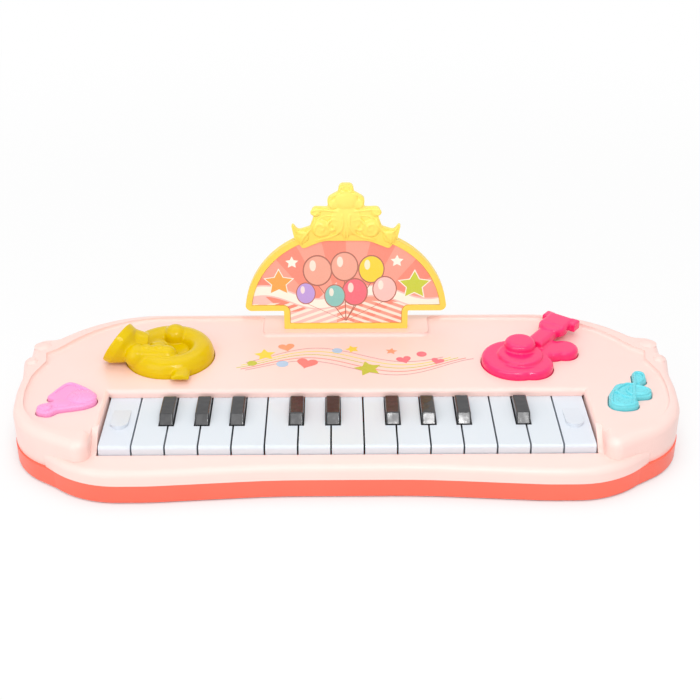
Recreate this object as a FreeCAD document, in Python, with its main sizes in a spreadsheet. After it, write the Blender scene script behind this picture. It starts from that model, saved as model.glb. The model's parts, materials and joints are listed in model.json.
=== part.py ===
import FreeCAD, Part
import math
import os
from types import SimpleNamespace

V = FreeCAD.Vector

# The toy stands in its own frame: millimetres, +X to the player's right, +Y to the back, +Z up.
SIZES = (
    ("body_width", "416", "across the side lobes"),
    ("body_depth", "174", "front lobes to back edge"),
    ("foot_height", "1", "rubber foot below the base"),
    ("base_height", "12.3", "height of the base shell"),
    ("rail_rise", "9.4", "front rail above the parting line"),
    ("deck_rise", "19.8", "deck above the parting line"),
    ("rim_rise", "2.6", "rim bead above the deck"),
    ("wall", "2.2", "wall of both shells"),
    ("rim_round", "5.2", "rounding of the outer top edge"),
    ("rim_inner_round", "2.2", "hollow rounding between deck and rim"),
    ("rail_round", "4", "rounding of the front rail"),
    ("base_round", "1.2", "rounding under the base"),
    ("shoulder_x", "161.8", "back corner"),
    ("shoulder_radius", "85", "back corner rounding"),
    ("notch_x", "195", "notch behind the ear, across"),
    ("notch_y", "53.4", "notch behind the ear, along"),
    ("ear_reach", "2", "ear beyond the side lobe"),
    ("ear_front_y", "30.4", "crease in front of the ear"),
    ("bump_y", "27.6", "bump in front of the ear"),
    ("lobe_radius", "46", "front of the side lobe"),
    ("lobe_y", "-52.5", "front corner of the side lobe"),
    ("ogee_x", "176.5", "where lobe and rail meet, across"),
    ("ogee_y", "-71.5", "where lobe and rail meet, along"),
    ("rail_corner_x", "159", "front corner of the rail"),
    ("rail_corner_radius", "58", "front corner rounding"),
    ("waist_x", "118", "start of the concave front"),
    ("waist_flat_x", "45", "half length of the flat middle of the front"),
    ("waist_sag", "5.6", "how far the front middle stands back"),
    ("scroll_x", "154.2", "inner end of the shoulder scroll"),
    ("scroll_y", "-52.2", "back end of the groove beside the keys"),
    ("rim_width", "5.6", "rim bead around the deck"),
    ("shoulder_front_y", "-60.2", "deck edge behind the shoulder"),
    ("pedestal_width", "112", "raised block that holds the sign"),
    ("pedestal_front_y", "57.8", "front of the sign block"),
    ("key_pitch", "20", "white key spacing"),
    ("key_gap", "1.1", "gap between white keys"),
    ("key_front_y", "-67.7", "front face of the keys"),
    ("key_back_y", "-12.2", "back wall of the key opening"),
    ("key_drop", "5", "white key top below the deck"),
    ("key_height", "9", "white key block"),
    ("key_round", "2", "rounding of the key front"),
    ("key_shell", "2.1", "wall of the hollow keys"),
    ("opening_gap", "0.8", "gap between keys and their opening"),
    ("opening_round", "2.8", "rounded edge of the key opening"),
    ("black_width", "8.6", "black key at its foot"),
    ("black_front_y", "-44.4", "front foot of a black key"),
    ("black_rise", "6", "black key above the white keys"),
    ("black_slope", "5", "run of the sloping front of a black key"),
    ("black_gap", "0.6", "gap around a black key"),
    ("pivot_y", "9.8", "key pivot, along"),
    ("pivot_z", "21.7", "key pivot, height"),
    ("pivot_radius", "2", "pivot rod"),
    ("pivot_fit", "0.05", "running clearance on the rod"),
    ("lug_width", "9", "white key lug"),
    ("black_lug_width", "6", "black key lug"),
    ("lug_size", "10", "lug length along the key"),
    ("plunger_radius", "2.5", "plunger under a key"),
    ("plunger_y", "-35.2", "white key plunger"),
    ("black_plunger_y", "-22.2", "black key plunger"),
    ("plunger_z", "15.9", "foot of the plungers"),
    ("plunger_gap", "0.2", "gap above a rubber dome"),
    ("dome_height", "5", "rubber dome"),
    ("board_thickness", "1.6", "circuit boards"),
    ("felt_thickness", "2", "felt under the key fronts"),
    ("rest_felt", "0.7", "felt over the key backs"),
    ("sign_y", "63.6", "front of the sign"),
    ("sign_thickness", "5", "sign frame"),
    ("sign_arch_radius", "69.5", "arch of the sign"),
    ("sign_arch_z", "3.5", "arch centre above the sign block"),
    ("sign_wing_z", "14", "underside of the sign wings"),
    ("sign_tab_width", "84", "foot of the sign"),
    ("sign_border", "4", "border round the card"),
    ("sign_recess", "1.4", "card recess"),
    ("sign_tongue_width", "72", "tongue in the socket"),
    ("sign_tongue_depth", "9", "tongue length"),
    ("sign_tongue", "3.4", "tongue thickness"),
    ("slot_gap", "0.3", "clearance in slots and lids"),
    ("crest_thickness", "3", "crest in front of the frame"),
    ("card_thickness", "0.8", "printed card"),
    ("button_gap", "0.6", "gap round the deck buttons"),
    ("button_travel", "2.5", "button stroke"),
    ("button_flange", "2", "retaining flange width"),
    ("boss_radius", "4.6", "screw bosses"),
    ("screw_radius", "1.45", "case screw shank"),
    ("screw_gap", "0.1", "clearance round a screw"),
    ("screw_length", "11.5", "case screw shank length"),
    ("screw_head_radius", "2.8", "case screw head"),
    ("screw_head", "2", "screw head height"),
    ("counterbore_depth", "5.5", "screw counterbore in the base"),
    ("cell_radius", "7.1", "battery cell"),
    ("cell_length", "50", "battery cell"),
    ("cell_pitch", "15.2", "cell spacing"),
    ("battery_x", "69", "battery box centre, across"),
    ("battery_y", "44", "battery box centre, along"),
    ("door_thickness", "2", "battery door"),
    ("speaker_y", "44", "speaker centre"),
    ("speaker_radius", "25", "speaker frame"),
    ("speaker_height", "16", "speaker with its magnet"),
    ("switch_x", "40", "power switch, across"),
    ("switch_y", "-5", "power switch, along"),
    ("switch_travel", "4", "power switch stroke"),
    ("foot_radius", "7", "rubber foot"),
    ("foot_recess", "0.8", "foot recess"),
    ("wire_radius", "0.6", "lead"),
)

doc = FreeCAD.newDocument("ToyPiano")
sheet = doc.addObject("Spreadsheet::Sheet", "Sizes")
for row, (alias, number, meaning) in enumerate(SIZES, start=1):
    sheet.set(f"A{row}", meaning)
    sheet.set(f"B{row}", number)
    sheet.setAlias(f"B{row}", alias)
doc.recompute()


class Dim:
    """A length: the expression that drives it and its value in millimetres."""

    def __init__(self, text, number):
        self.text = text
        self.number = number

    def __add__(self, other):
        other = dim(other)
        return Dim(f"({self.text} + {other.text})", self.number + other.number)

    def __sub__(self, other):
        other = dim(other)
        return Dim(f"({self.text} - {other.text})", self.number - other.number)

    def __mul__(self, factor):
        return Dim(f"({self.text} * {factor})", self.number * factor)

    def __truediv__(self, factor):
        return Dim(f"({self.text} / {factor})", self.number / factor)

    def __neg__(self):
        return Dim(f"(0 - {self.text})", -self.number)

    def __radd__(self, other):
        return dim(other) + self

    def __rsub__(self, other):
        return dim(other) - self

    __rmul__ = __mul__

    def __float__(self):
        return float(self.number)


def dim(value):
    """A plain number or a Dim, as a Dim."""
    return value if isinstance(value, Dim) else Dim(f"({value:.6f})", float(value))


s = SimpleNamespace(**{alias: Dim(f"Sizes.{alias}", float(sheet.get(alias))) for alias, _, _ in SIZES})
made = {}
TURN = {
    "XY": FreeCAD.Rotation(),
    "XZ": FreeCAD.Rotation(V(1, 0, 0), 90),
    "YZ": FreeCAD.Rotation(V(1, 1, 1), 120),
}


def bind(item, **lengths):
    """Drive properties of an object from the sheet."""
    for name, length in lengths.items():
        item.setExpression(name, dim(length).text)


def put(item, x, y, z, turn=None):
    """Place an object by expressions, turned or not."""
    if turn is not None:
        item.Placement = FreeCAD.Placement(V(), turn)
    for axis, length in zip("xyz", (x, y, z)):
        item.setExpression(f"Placement.Base.{axis}", dim(length).text)
    return item


def box(x, y, z):
    """A block between three pairs of limits."""
    item = doc.addObject("Part::Box", "Block")
    bind(item, Length=x[1] - x[0], Width=y[1] - y[0], Height=z[1] - z[0])
    return put(item, x[0], y[0], z[0])


def turned_box(x, y, z, size, angle):
    """A block centred on x, y with its foot at z, turned about the vertical."""
    item = doc.addObject("Part::Box", "Block")
    bind(item, Length=size[0], Width=size[1], Height=size[2])
    turn = FreeCAD.Rotation(V(0, 0, 1), angle)
    corner = turn.multVec(V(-float(dim(size[0])) / 2, -float(dim(size[1])) / 2, 0))
    return put(item, x + corner.x, y + corner.y, z, turn)


def cylinder(x, y, z, radius):
    """An upright cylinder between two heights."""
    item = doc.addObject("Part::Cylinder", "Round")
    bind(item, Radius=radius, Height=z[1] - z[0])
    return put(item, x, y, z[0])


def cone(x, y, z, foot, top):
    """An upright cone between two heights."""
    item = doc.addObject("Part::Cone", "Taper")
    bind(item, Radius1=foot, Radius2=top, Height=z[1] - z[0])
    return put(item, x, y, z[0])


def bar(x, y, z, radius):
    """A cylinder along X."""
    item = doc.addObject("Part::Cylinder", "Bar")
    bind(item, Radius=radius, Height=x[1] - x[0])
    return put(item, x[0], y, z, FreeCAD.Rotation(V(0, 1, 0), 90))


def ring(x, y, z, radius, tube):
    """A torus lying flat."""
    item = doc.addObject("Part::Torus", "Ring")
    bind(item, Radius1=radius, Radius2=tube)
    return put(item, x, y, z)


def ball(x, y, z, radius):
    """A sphere."""
    item = doc.addObject("Part::Sphere", "Ball")
    bind(item, Radius=radius)
    return put(item, x, y, z)


def fuse(*items):
    """One object from several that overlap."""
    item = doc.addObject("Part::MultiFuse", "Joined")
    item.Shapes = list(items)
    return item


def cut(base, *tools):
    """An object less some others."""
    item = doc.addObject("Part::Cut", "Cut")
    item.Base = base
    item.Tool = tools[0] if len(tools) == 1 else group(*tools)
    return item


def common(first, second):
    """The room two objects share."""
    item = doc.addObject("Part::Common", "Shared")
    item.Base = first
    item.Tool = second
    return item


def group(*items):
    """Several separate objects as one."""
    item = doc.addObject("Part::Compound", "Set")
    item.Links = list(items)
    return item


def rounding(base, radius, chosen):
    """Round the edges of an object that chosen(edge) accepts."""
    doc.recompute()
    item = doc.addObject("Part::Fillet", "Rounded")
    item.Base = base
    size = float(dim(radius))
    picked = [number for number, edge in enumerate(base.Shape.Edges, start=1) if chosen(edge)]
    item.Edges = [(number, size, size) for number in picked]
    return item


def flat_at(height):
    """A test for edges that lie level at a height."""
    level = float(dim(height))

    def test(edge):
        bounds = edge.BoundBox
        return abs(bounds.ZMin - level) < 0.01 and abs(bounds.ZMax - level) < 0.01

    return test


def rounded(corners):
    """Lines and arcs through corners given as x, y, radius, as a closed run."""
    places = [V(float(x), float(y), 0) for x, y, _ in corners]
    bends = []
    for index, here in enumerate(places):
        radius = float(corners[index][2])
        back = (places[index - 1] - here).normalize()
        ahead = (places[(index + 1) % len(places)] - here).normalize()
        half = back.getAngle(ahead) / 2
        run = radius / math.tan(half)
        middle = here + (back + ahead).normalize() * (radius / math.sin(half) - radius)
        bends.append((here + back * run, middle, here + ahead * run))
    pieces = []
    for index, (start, middle, end) in enumerate(bends):
        if (end - start).Length > 1e-6:
            pieces.append(Part.Arc(start, middle, end))
        following = bends[(index + 1) % len(bends)][0]
        if (following - end).Length > 1e-6:
            pieces.append(Part.LineSegment(end, following))
    return pieces


def inset(corners, step):
    """The same run of corners moved inwards; the run goes clockwise."""
    step = float(step)
    points = [V(float(x), float(y), 0) for x, y, _ in corners]
    moved = []
    for index, here in enumerate(points):
        arrive = (here - points[index - 1]).normalize()
        leave = (points[(index + 1) % len(points)] - here).normalize()
        inward_a = V(arrive.y, -arrive.x, 0)
        inward_b = V(leave.y, -leave.x, 0)
        shift = (inward_a + inward_b) * (step / (1 + inward_a.dot(inward_b)))
        bend = arrive.x * leave.y - arrive.y * leave.x
        radius = float(corners[index][2])
        if radius > 0:
            radius = max(radius - step if bend < 0 else radius + step, 0.3)
        moved.append((here.x + shift.x, here.y + shift.y, radius))
    return moved


def mirrored(corners):
    """A right half, back to front, followed by its mirror image."""
    return list(corners) + [(-x, y, radius) for x, y, radius in reversed(corners)]


def prism(pieces, limits, plane="XY"):
    """A closed run of lines and arcs drawn out between two limits across its plane."""
    low, high = limits
    sketch = doc.addObject("Sketcher::SketchObject", "Outline")
    sketch.addGeometry(pieces, False)
    start = {"XY": (0, 0, low), "XZ": (0, high, 0), "YZ": (low, 0, 0)}[plane]
    put(sketch, *start, TURN[plane])
    item = doc.addObject("Part::Extrusion", "Prism")
    item.Base = sketch
    item.DirMode = "Normal"
    item.Solid = True
    bind(item, LengthFwd=high - low)
    return item


def node(name, item):
    """Name a finished sub-part."""
    item.Label = name
    made[name] = item
    return item


# Shared heights and lines.
half_width = s.body_width / 2
half_depth = s.body_depth / 2
base_low = s.foot_height
floor_top = base_low + s.wall
parting = base_low + s.base_height
rail_top = parting + s.rail_rise
deck_top = parting + s.deck_rise
rim_top = deck_top + s.rim_rise
under_deck = deck_top - s.wall
under_rail = rail_top - s.wall
key_top = deck_top - s.key_drop
key_low = key_top - s.key_height
high_up = rim_top + 20

SLOTS = 15
# Each black key: the line between two slots that it stands on, and how far it stands off that line.
BLACK_OFFSET = {2: -1.2, 3: 0.6, 4: 2.2, 6: -1.4, 7: 1.2, 9: -1.9, 10: 0.1, 11: 1.9, 13: -1.5}
POST_AT = (1, 5, 8, 12, 14)


def slot_x(index):
    """Middle of a white key slot, counted from 0 at the left."""
    return s.key_pitch * (index - (SLOTS - 1) / 2)


def line_x(index):
    """Line between two slots."""
    return s.key_pitch * (index - SLOTS / 2)


def black_x(line):
    """Middle of a black key."""
    return line_x(line) + BLACK_OFFSET[line]


opening_x = s.key_pitch * (SLOTS / 2) + s.opening_gap
opening_front = s.key_front_y - s.opening_gap

# Plan outlines, right half from back to front.
lobe = [
    (s.shoulder_x, half_depth, s.shoulder_radius),
    (s.notch_x, s.notch_y, 5),
    (half_width + s.ear_reach, s.notch_y - 2, 9),
    (half_width + s.ear_reach - 1.6, s.ear_front_y, 2),
    (half_width + s.ear_reach + 2.4, s.bump_y, 5.6),
    (half_width + 1, 6, 40),
    (half_width + 1.2, -12, 60),
    (half_width - 2.8, s.lobe_y, s.lobe_radius),
]
rail = [
    (s.rail_corner_x, -half_depth, s.rail_corner_radius),
    (s.waist_x, -half_depth, 200),
    (s.waist_flat_x, s.waist_sag - half_depth, 500),
]
ogee = (s.ogee_x, s.ogee_y, 10)
whole_outline = mirrored(lobe + [ogee] + rail)
scroll_tip_y = s.ogee_y - 9
high_outline = mirrored(lobe + [(s.scroll_x, scroll_tip_y, 7), (s.scroll_x, s.scroll_y, 2)])
rail_start = [
    (s.ogee_x + 6, s.scroll_y + 5, 0),
    (s.ogee_x + 6, s.ogee_y + 5.6, 0),
]
low_outline = mirrored(rail_start + rail)
rim_line = s.rim_width
pedestal_x = s.pedestal_width / 2
deck_outline = mirrored([
    (pedestal_x, s.pedestal_front_y, 4),
    (pedestal_x, half_depth - rim_line, 4),
    (s.shoulder_x - 2, half_depth - rim_line, s.shoulder_radius - rim_line),
    (s.notch_x - 3.5, s.ear_front_y + 8, 5),
    (s.notch_x + 3.5, s.ear_front_y + 2, 2.4),
    (s.notch_x + 1.5, s.bump_y - 5.6, 4),
    (half_width - rim_line, 4, 30),
    (half_width - rim_line + 0.6, -14, 60),
    (half_width - rim_line - 3.6, s.lobe_y + 3, s.lobe_radius - rim_line),
    (s.ogee_x - 5, s.shoulder_front_y, 18),
    (s.scroll_x + 3, s.shoulder_front_y, 3),
    (s.scroll_x + 1, s.scroll_y - 12, 3),
])

# Deck buttons in plan.
HORN = (-116.5, 31.5)
GUITAR = ((110.8, 21, 22.2), (120, 14, 14.6), (127, 31.5, 12), (136, 32.8, 10.2), (144.5, 33, 9.4))
horn_radius = 29
note_outline = [
    (-176.5, -3, 7), (-162, -13.5, 12), (-153.5, -27.5, 7), (-163, -33.5, 8), (-178, -37.2, 4),
    (-183, -42.2, 4), (-193, -39.5, 4), (-189, -30, 4), (-181, -27.3, 1.2), (-188, -22.5, 2),
    (-183.5, -14, 6),
]
clef_outline = [
    (183.8, 5.4, 3.6), (192, 4.8, 4), (191.6, -5.6, 3.2), (186, -11, 1.2), (192.8, -15.4, 3.8),
    (190.8, -24.6, 4), (180.6, -26, 1.6), (181.8, -36, 5.2), (172, -38.4, 12), (161.7, -35.8, 6.4),
    (164.4, -22, 7), (171.2, -9.2, 7), (182.4, -8.8, 1.2),
]


def guitar_plan(limits, extra):
    """The body of the guitar button as overlapping rounds."""
    return fuse(*[cylinder(x, y, limits, radius + dim(extra)) for x, y, radius in GUITAR])


# Case screws: place and top of the boss in the upper shell.
CASE_SCREWS = [
    (186, 40, under_deck), (172, -57, under_deck), (62, 75, under_deck), (62, -75.5, under_rail),
]
CASE_SCREWS += [(-x, y, top) for x, y, top in CASE_SCREWS]
screw_seat = base_low + s.counterbore_depth
shank_hole = s.screw_radius + s.screw_gap
socket_y = s.sign_y + (s.sign_thickness - s.sign_tongue) / 2


def edge_cutters():
    """Tools that round the deck's edge behind and beside the key opening, mitred at the corners."""
    reach = s.opening_round + 0.5
    heights = (deck_top - reach - 0.5, deck_top + 1)
    start_y = s.scroll_y + 1
    corner_y = s.key_back_y + reach
    corner_x = opening_x + reach

    def lip(edge):
        return rounded([
            (edge - 1, heights[0], 0), (edge, heights[0], 0), (edge, deck_top, s.opening_round),
            (edge + reach, deck_top, 0), (edge + reach, heights[1], 0), (edge - 1, heights[1], 0),
        ])

    inner_x = opening_x - 1
    inner_y = s.key_back_y - 1
    back_plan = [
        (-inner_x, inner_y, 0), (inner_x, inner_y, 0), (corner_x, corner_y, 0), (-corner_x, corner_y, 0),
    ]
    back = common(prism(lip(s.key_back_y), (-corner_x, corner_x), "YZ"), prism(rounded(back_plan), heights))
    side_plan = [
        (inner_x, start_y, 0), (inner_x, inner_y, 0), (corner_x, corner_y, 0), (corner_x, start_y, 0),
    ]
    side = common(prism(lip(opening_x), (start_y, corner_y), "XZ"), prism(rounded(side_plan), heights))
    other = doc.addObject("Part::Mirroring", "Mirrored")
    other.Source = side
    other.Normal = V(1, 0, 0)
    return [back, side, other]


def ramp(side):
    """The slope from the deck down to the rail between the keys and the shoulder scroll."""
    across = (opening_x, s.scroll_x + 0.5) if side > 0 else (-s.scroll_x - 0.5, -opening_x)
    low_z = under_rail + 0.2
    slope = rounded([
        (s.scroll_y + 2, deck_top, 0), (s.scroll_y - 2, deck_top, 9), (opening_front + 2, rail_top, 6),
        (opening_front - s.wall, rail_top, 0), (opening_front - s.wall, low_z, 0),
        (s.scroll_y + 2, low_z, 0),
    ])
    return prism(slope, across, "YZ")


# Scroll ends on the rim of the ears: place and radius of each dome.
EAR_DOMES = ((202.4, 41.5, 5.6), (205.4, 21, 3.8))


def dome(x, y, reach):
    """A low dome on the rim."""
    rise = 1.3
    curve = (reach * reach + rise * rise) / (2 * rise)
    cap = ball(x, y, rim_top + rise - curve, curve)
    return common(cap, cylinder(x, y, (rim_top - 1, rim_top + 2), reach))


# Upper shell: deck with its rim, front rail, key opening, sign socket, button holes and bosses.
def upper_shell():
    high = rounding(prism(rounded(high_outline), (parting, rim_top)), s.rim_round, flat_at(rim_top))
    low = prism(rounded(low_outline), (parting, rail_top))
    front_of_rail = float(s.ogee_y) + 5.8
    level_rail = flat_at(rail_top)
    low = rounding(low, s.rail_round, lambda edge: level_rail(edge) and edge.BoundBox.YMin < front_of_rail
                   and edge.BoundBox.XLength > 1)
    shell = fuse(high, low)
    shell = cut(
        shell,
        rounding(prism(rounded(deck_outline), (deck_top, high_up)), s.rim_inner_round, flat_at(deck_top)),
        prism(rounded(inset(high_outline, s.wall)), (parting - 1, under_deck)),
        prism(rounded(inset(low_outline, s.wall)), (parting - 1, under_rail)),
        box((-opening_x, opening_x), (opening_front, s.key_back_y), (parting - 1, high_up)),
    )
    cheek = (opening_x, opening_x + s.wall)
    skirt_low = parting + 1
    front_skirt = (opening_front - s.wall, opening_front)
    parts = [shell]
    for side in (-1, 1):
        across = cheek if side > 0 else (-cheek[1], -cheek[0])
        parts.append(box(across, (s.scroll_y, s.key_back_y), (skirt_low, under_deck + 0.5)))
        parts.append(box(across, (front_skirt[0], s.scroll_y + 1), (skirt_low, under_rail + 0.5)))
        parts.append(ramp(side))
        parts += [dome(side * x, y, reach) for x, y, reach in EAR_DOMES]
    parts.append(box((-cheek[1], cheek[1]), front_skirt, (skirt_low, under_rail + 0.5)))
    flange = (s.key_back_y, s.key_back_y + s.wall)
    parts.append(box((-cheek[1], cheek[1]), flange, (key_top + s.opening_gap, under_deck + 0.5)))
    socket_x = s.sign_tongue_width / 2 + 3
    socket = (socket_y - 3, socket_y + s.sign_tongue + 3)
    parts.append(box((-socket_x, socket_x), socket, (under_deck - s.sign_tongue_depth, under_deck + 0.5)))
    for x, y, top in CASE_SCREWS:
        parts.append(cylinder(x, y, (parting, top + 0.5), s.boss_radius - 0.6))
    slot_x_half = s.sign_tongue_width / 2 + s.slot_gap
    slot = (socket_y - s.slot_gap, socket_y + s.sign_tongue + s.slot_gap)
    tools = [
        box((-slot_x_half, slot_x_half), slot, (rim_top - s.sign_tongue_depth - 0.5, high_up)),
        cylinder(HORN[0], HORN[1], (under_deck - 1, high_up), horn_radius + s.button_gap),
        guitar_plan((under_deck - 1, high_up), s.button_gap),
        prism(rounded(inset(note_outline, -s.button_gap)), (under_deck - 1, high_up)),
        prism(rounded(inset(clef_outline, -s.button_gap)), (under_deck - 1, high_up)),
    ]
    tools += [cylinder(x, y, (parting - 1, screw_seat + s.screw_length + 0.5), shank_hole)
              for x, y, _ in CASE_SCREWS]
    return cut(fuse(*parts), *tools, *edge_cutters())


node("top_shell", upper_shell())

# Boards and their supports.
dome_top = s.plunger_z - s.plunger_gap
key_board_top = dome_top - s.dome_height
key_board_low = key_board_top - s.board_thickness
stem_z = s.plunger_z + 2
button_board_top = stem_z - s.plunger_gap - s.dome_height
button_board_low = button_board_top - s.board_thickness
KEY_BOARD_SCREW_Y = -28.2
MAIN_BOARD = ((-150, -45), (20, 64))
MAIN_SCREWS = [(-145, 58), (-50, 58), (-145, 25), (-50, 25)]
BUTTON_BOARDS = (
    ((111, 150), (17, 42), ((146, 21), (115, 38))),
    ((-190, -157), (-40, -6), ((-186, -10), (-161, -36))),
    ((163, 194), (-35, 2), ((167, -2), (190, -31))),
)
STEMS = (HORN, (122, 26), (-172, -23), (179, -17))
PIN_RADIUS = 1.2
PIN_HOLE = 1.3
PIN_DEPTH = 5
key_board_screws = [(line_x(line), KEY_BOARD_SCREW_Y) for line in POST_AT]
high_board_screws = MAIN_SCREWS + [place for board in BUTTON_BOARDS for place in board[2]]
rod_end = opening_x + 8.5
post_x = [line_x(line) for line in POST_AT] + [opening_x + 5, -opening_x - 5]

# Battery box, speaker seat and switch.
box_x = s.cell_length / 2 + 4.5
box_y = s.cell_pitch + s.cell_radius + 0.6
cell_z = base_low + s.door_thickness + 0.6 + s.cell_radius
box_roof = cell_z + s.cell_radius + 0.8
tab_x = s.battery_x + box_x + 4
SPEAKER_SCREW_ANGLES = (90, 210, 330)
speaker_screw_ring = s.speaker_radius + 3.6
flange_thick = 1.5
FEET = [(165, -44), (-165, -44), (150, 58), (-150, 58)]
knob_half = (3.5, 2.5)
stem_half = (1.5, 1.3)
knob_gap = 0.4
felt_y = (s.key_front_y + 3.5, s.key_front_y + 7.5)
felt_top = parting + 1.6


def polar(radius, angle):
    """Place on a ring round the speaker."""
    turn = math.radians(angle)
    return radius * math.cos(turn), s.speaker_y + radius * math.sin(turn)


# Lower shell: floor and walls with bosses, key pivot posts, board standoffs and battery box.
def lower_shell():
    shell = rounding(prism(rounded(whole_outline), (base_low, parting)), s.base_round, flat_at(base_low))
    shell = cut(shell, prism(rounded(inset(whole_outline, s.wall)), (floor_top, parting + 1)))
    sunk = floor_top - 0.3
    parts = [shell]
    parts += [cylinder(x, y, (base_low, parting), s.boss_radius) for x, y, _ in CASE_SCREWS]
    parts += [cylinder(x, y, (sunk, key_board_low), 3) for x, y in key_board_screws]
    parts += [cylinder(x, y, (sunk, button_board_low), 3) for x, y in high_board_screws]
    pivot_y = (s.pivot_y - s.lug_size / 2, s.pivot_y + s.lug_size / 2)
    parts += [box((x - 3, x + 3), pivot_y, (sunk, s.pivot_z + 3.5)) for x in post_x]
    parts.append(box((-opening_x, opening_x), felt_y, (sunk, felt_top - s.felt_thickness)))
    outer_x = (s.battery_x - box_x - s.wall, s.battery_x + box_x + s.wall)
    outer_y = (s.battery_y - box_y - s.wall, s.battery_y + box_y + s.wall)
    parts.append(box(outer_x, outer_y, (base_low, box_roof + s.wall)))
    parts.append(box((tab_x - 6, tab_x + 6), (s.battery_y - 7, s.battery_y + 7), (base_low, floor_top + 9)))
    seat = cylinder(0, s.speaker_y, (sunk, floor_top + flange_thick), s.speaker_radius + 2)
    seat_hole = cylinder(0, s.speaker_y, (sunk - 1, floor_top + 5), s.speaker_radius + s.slot_gap)
    parts.append(cut(seat, seat_hole))
    for angle in SPEAKER_SCREW_ANGLES:
        parts.append(cylinder(*polar(speaker_screw_ring, angle), (sunk, floor_top + flange_thick), 3))
    tools = [bar((-rod_end - 1, rod_end + 1), s.pivot_y, s.pivot_z, s.pivot_radius + s.pivot_fit)]
    for x, y, _ in CASE_SCREWS:
        tools.append(cylinder(x, y, (base_low - 1, screw_seat), s.screw_head_radius + 0.4))
        tools.append(cylinder(x, y, (base_low, parting + 1), shank_hole))
    tools += [cylinder(x, y, (key_board_low - PIN_DEPTH + 1, key_board_low + 1), PIN_HOLE)
              for x, y in key_board_screws]
    tools += [cylinder(x, y, (button_board_low - PIN_DEPTH - 0.5, button_board_low + 1), PIN_HOLE)
              for x, y in high_board_screws]
    inner_x = (s.battery_x - box_x, s.battery_x + box_x)
    inner_y = (s.battery_y - box_y, s.battery_y + box_y)
    tools.append(box(inner_x, inner_y, (base_low - 1, box_roof)))
    tab = (s.battery_y - 5, s.battery_y + 5)
    tools.append(box((inner_x[1] - 1, tab_x + 5), tab, (base_low - 1, base_low + s.door_thickness)))
    tools.append(cylinder(tab_x, s.battery_y, (base_low, floor_top + 8), shank_hole))
    for step in range(-3, 4):
        reach = 17 - abs(step) * 1.5
        across = s.speaker_y + step * 4.5
        tools.append(box((dim(-reach), dim(reach)), (across - 1, across + 1), (base_low - 1, floor_top + 1)))
    for angle in SPEAKER_SCREW_ANGLES:
        tools.append(cylinder(*polar(speaker_screw_ring, angle), (floor_top - 0.8, floor_top + 3), PIN_HOLE))
    reach = knob_half[0] + s.switch_travel / 2 + knob_gap
    side = knob_half[1] + knob_gap
    tools.append(box((s.switch_x - reach, s.switch_x + reach), (s.switch_y - side, s.switch_y + side),
                     (base_low - 1, floor_top + 1)))
    tools += [cylinder(x, y, (base_low - 1, base_low + s.foot_recess), s.foot_radius + 0.1) for x, y in FEET]
    shell = cut(fuse(*parts), *tools)
    ledges = []
    for side_x in (-1, 1):
        for side_y in (-1, 1):
            x = s.battery_x + box_x * side_x
            y = s.battery_y + box_y * side_y
            low_z = base_low + s.door_thickness
            ledges.append(box((x - 1.2, x + 1.2), (y - 1.2, y + 1.2), (low_z, low_z + 2)))
    return fuse(shell, *ledges)


node("base_shell", lower_shell())
foot_z = (dim(0), base_low + s.foot_recess)
node("rubber_feet", group(*[cylinder(x, y, foot_z, s.foot_radius) for x, y in FEET]))


def screw(x, y, seat, shank, radius, head_radius, head_height, up=True):
    """A pan head screw with its head below the seat, or above it."""
    if up:
        stem = cylinder(x, y, (seat, seat + shank), radius)
        return fuse(stem, cylinder(x, y, (seat - head_height, seat), head_radius))
    stem = cylinder(x, y, (seat - shank, seat), radius)
    return fuse(stem, cylinder(x, y, (seat, seat + head_height), head_radius))


node("case_screws", group(*[
    screw(x, y, screw_seat, s.screw_length, s.screw_radius, s.screw_head_radius, s.screw_head)
    for x, y, _ in CASE_SCREWS
]))
board_pins = [(x, y, key_board_top) for x, y in key_board_screws]
board_pins += [(x, y, button_board_top) for x, y in high_board_screws]
pin_shank = s.board_thickness + PIN_DEPTH - 1.5
node("board_screws", group(*[
    screw(x, y, seat, pin_shank, dim(PIN_RADIUS), 2.4, 1.6, up=False) for x, y, seat in board_pins
]))


# Sign: arched frame with a tab and a crest, and the card in its recess. Heights count from the sign block.
def sign_point(x, height, radius):
    """A corner of the sign outline above the sign block."""
    return (x, rim_top + height, radius)


arch_top = s.sign_arch_z + s.sign_arch_radius
sign_outline = mirrored([
    sign_point(s.sign_arch_radius - 10.4, arch_top, s.sign_arch_radius - 7.5),
    sign_point(s.sign_arch_radius - 1, s.sign_wing_z, 4),
    sign_point(s.sign_tab_width / 2, s.sign_wing_z, 0.8),
    sign_point(s.sign_tab_width / 2, 0.1, 0.8),
])
crest_outline = mirrored([sign_point(*corner) for corner in (
    (4.4, 106.6, 3.2), (5.2, 101, 1.5), (12.3, 96.8, 4), (11.5, 90, 1.5), (24.6, 90.4, 3),
    (21, 84, 2.6), (23.5, 76.4, 2.5), (31.2, 73.8, 2.5), (36.4, 80.4, 0.9), (34, 68.6, 3), (28.5, 60.8, 2),
    (15, 66.6, 20),
)])
sign_back = s.sign_y + s.sign_thickness
crest_y = (s.sign_y - 0.8, s.sign_y - 0.8 + s.crest_thickness)


def sign_disc(x, height, radius, front):
    """A round boss on the front of the crest."""
    item = doc.addObject("Part::Cylinder", "Boss")
    bind(item, Radius=radius, Height=crest_y[0] - front + 1)
    return put(item, x, crest_y[0] + 1, rim_top + height, TURN["XZ"])


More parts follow.
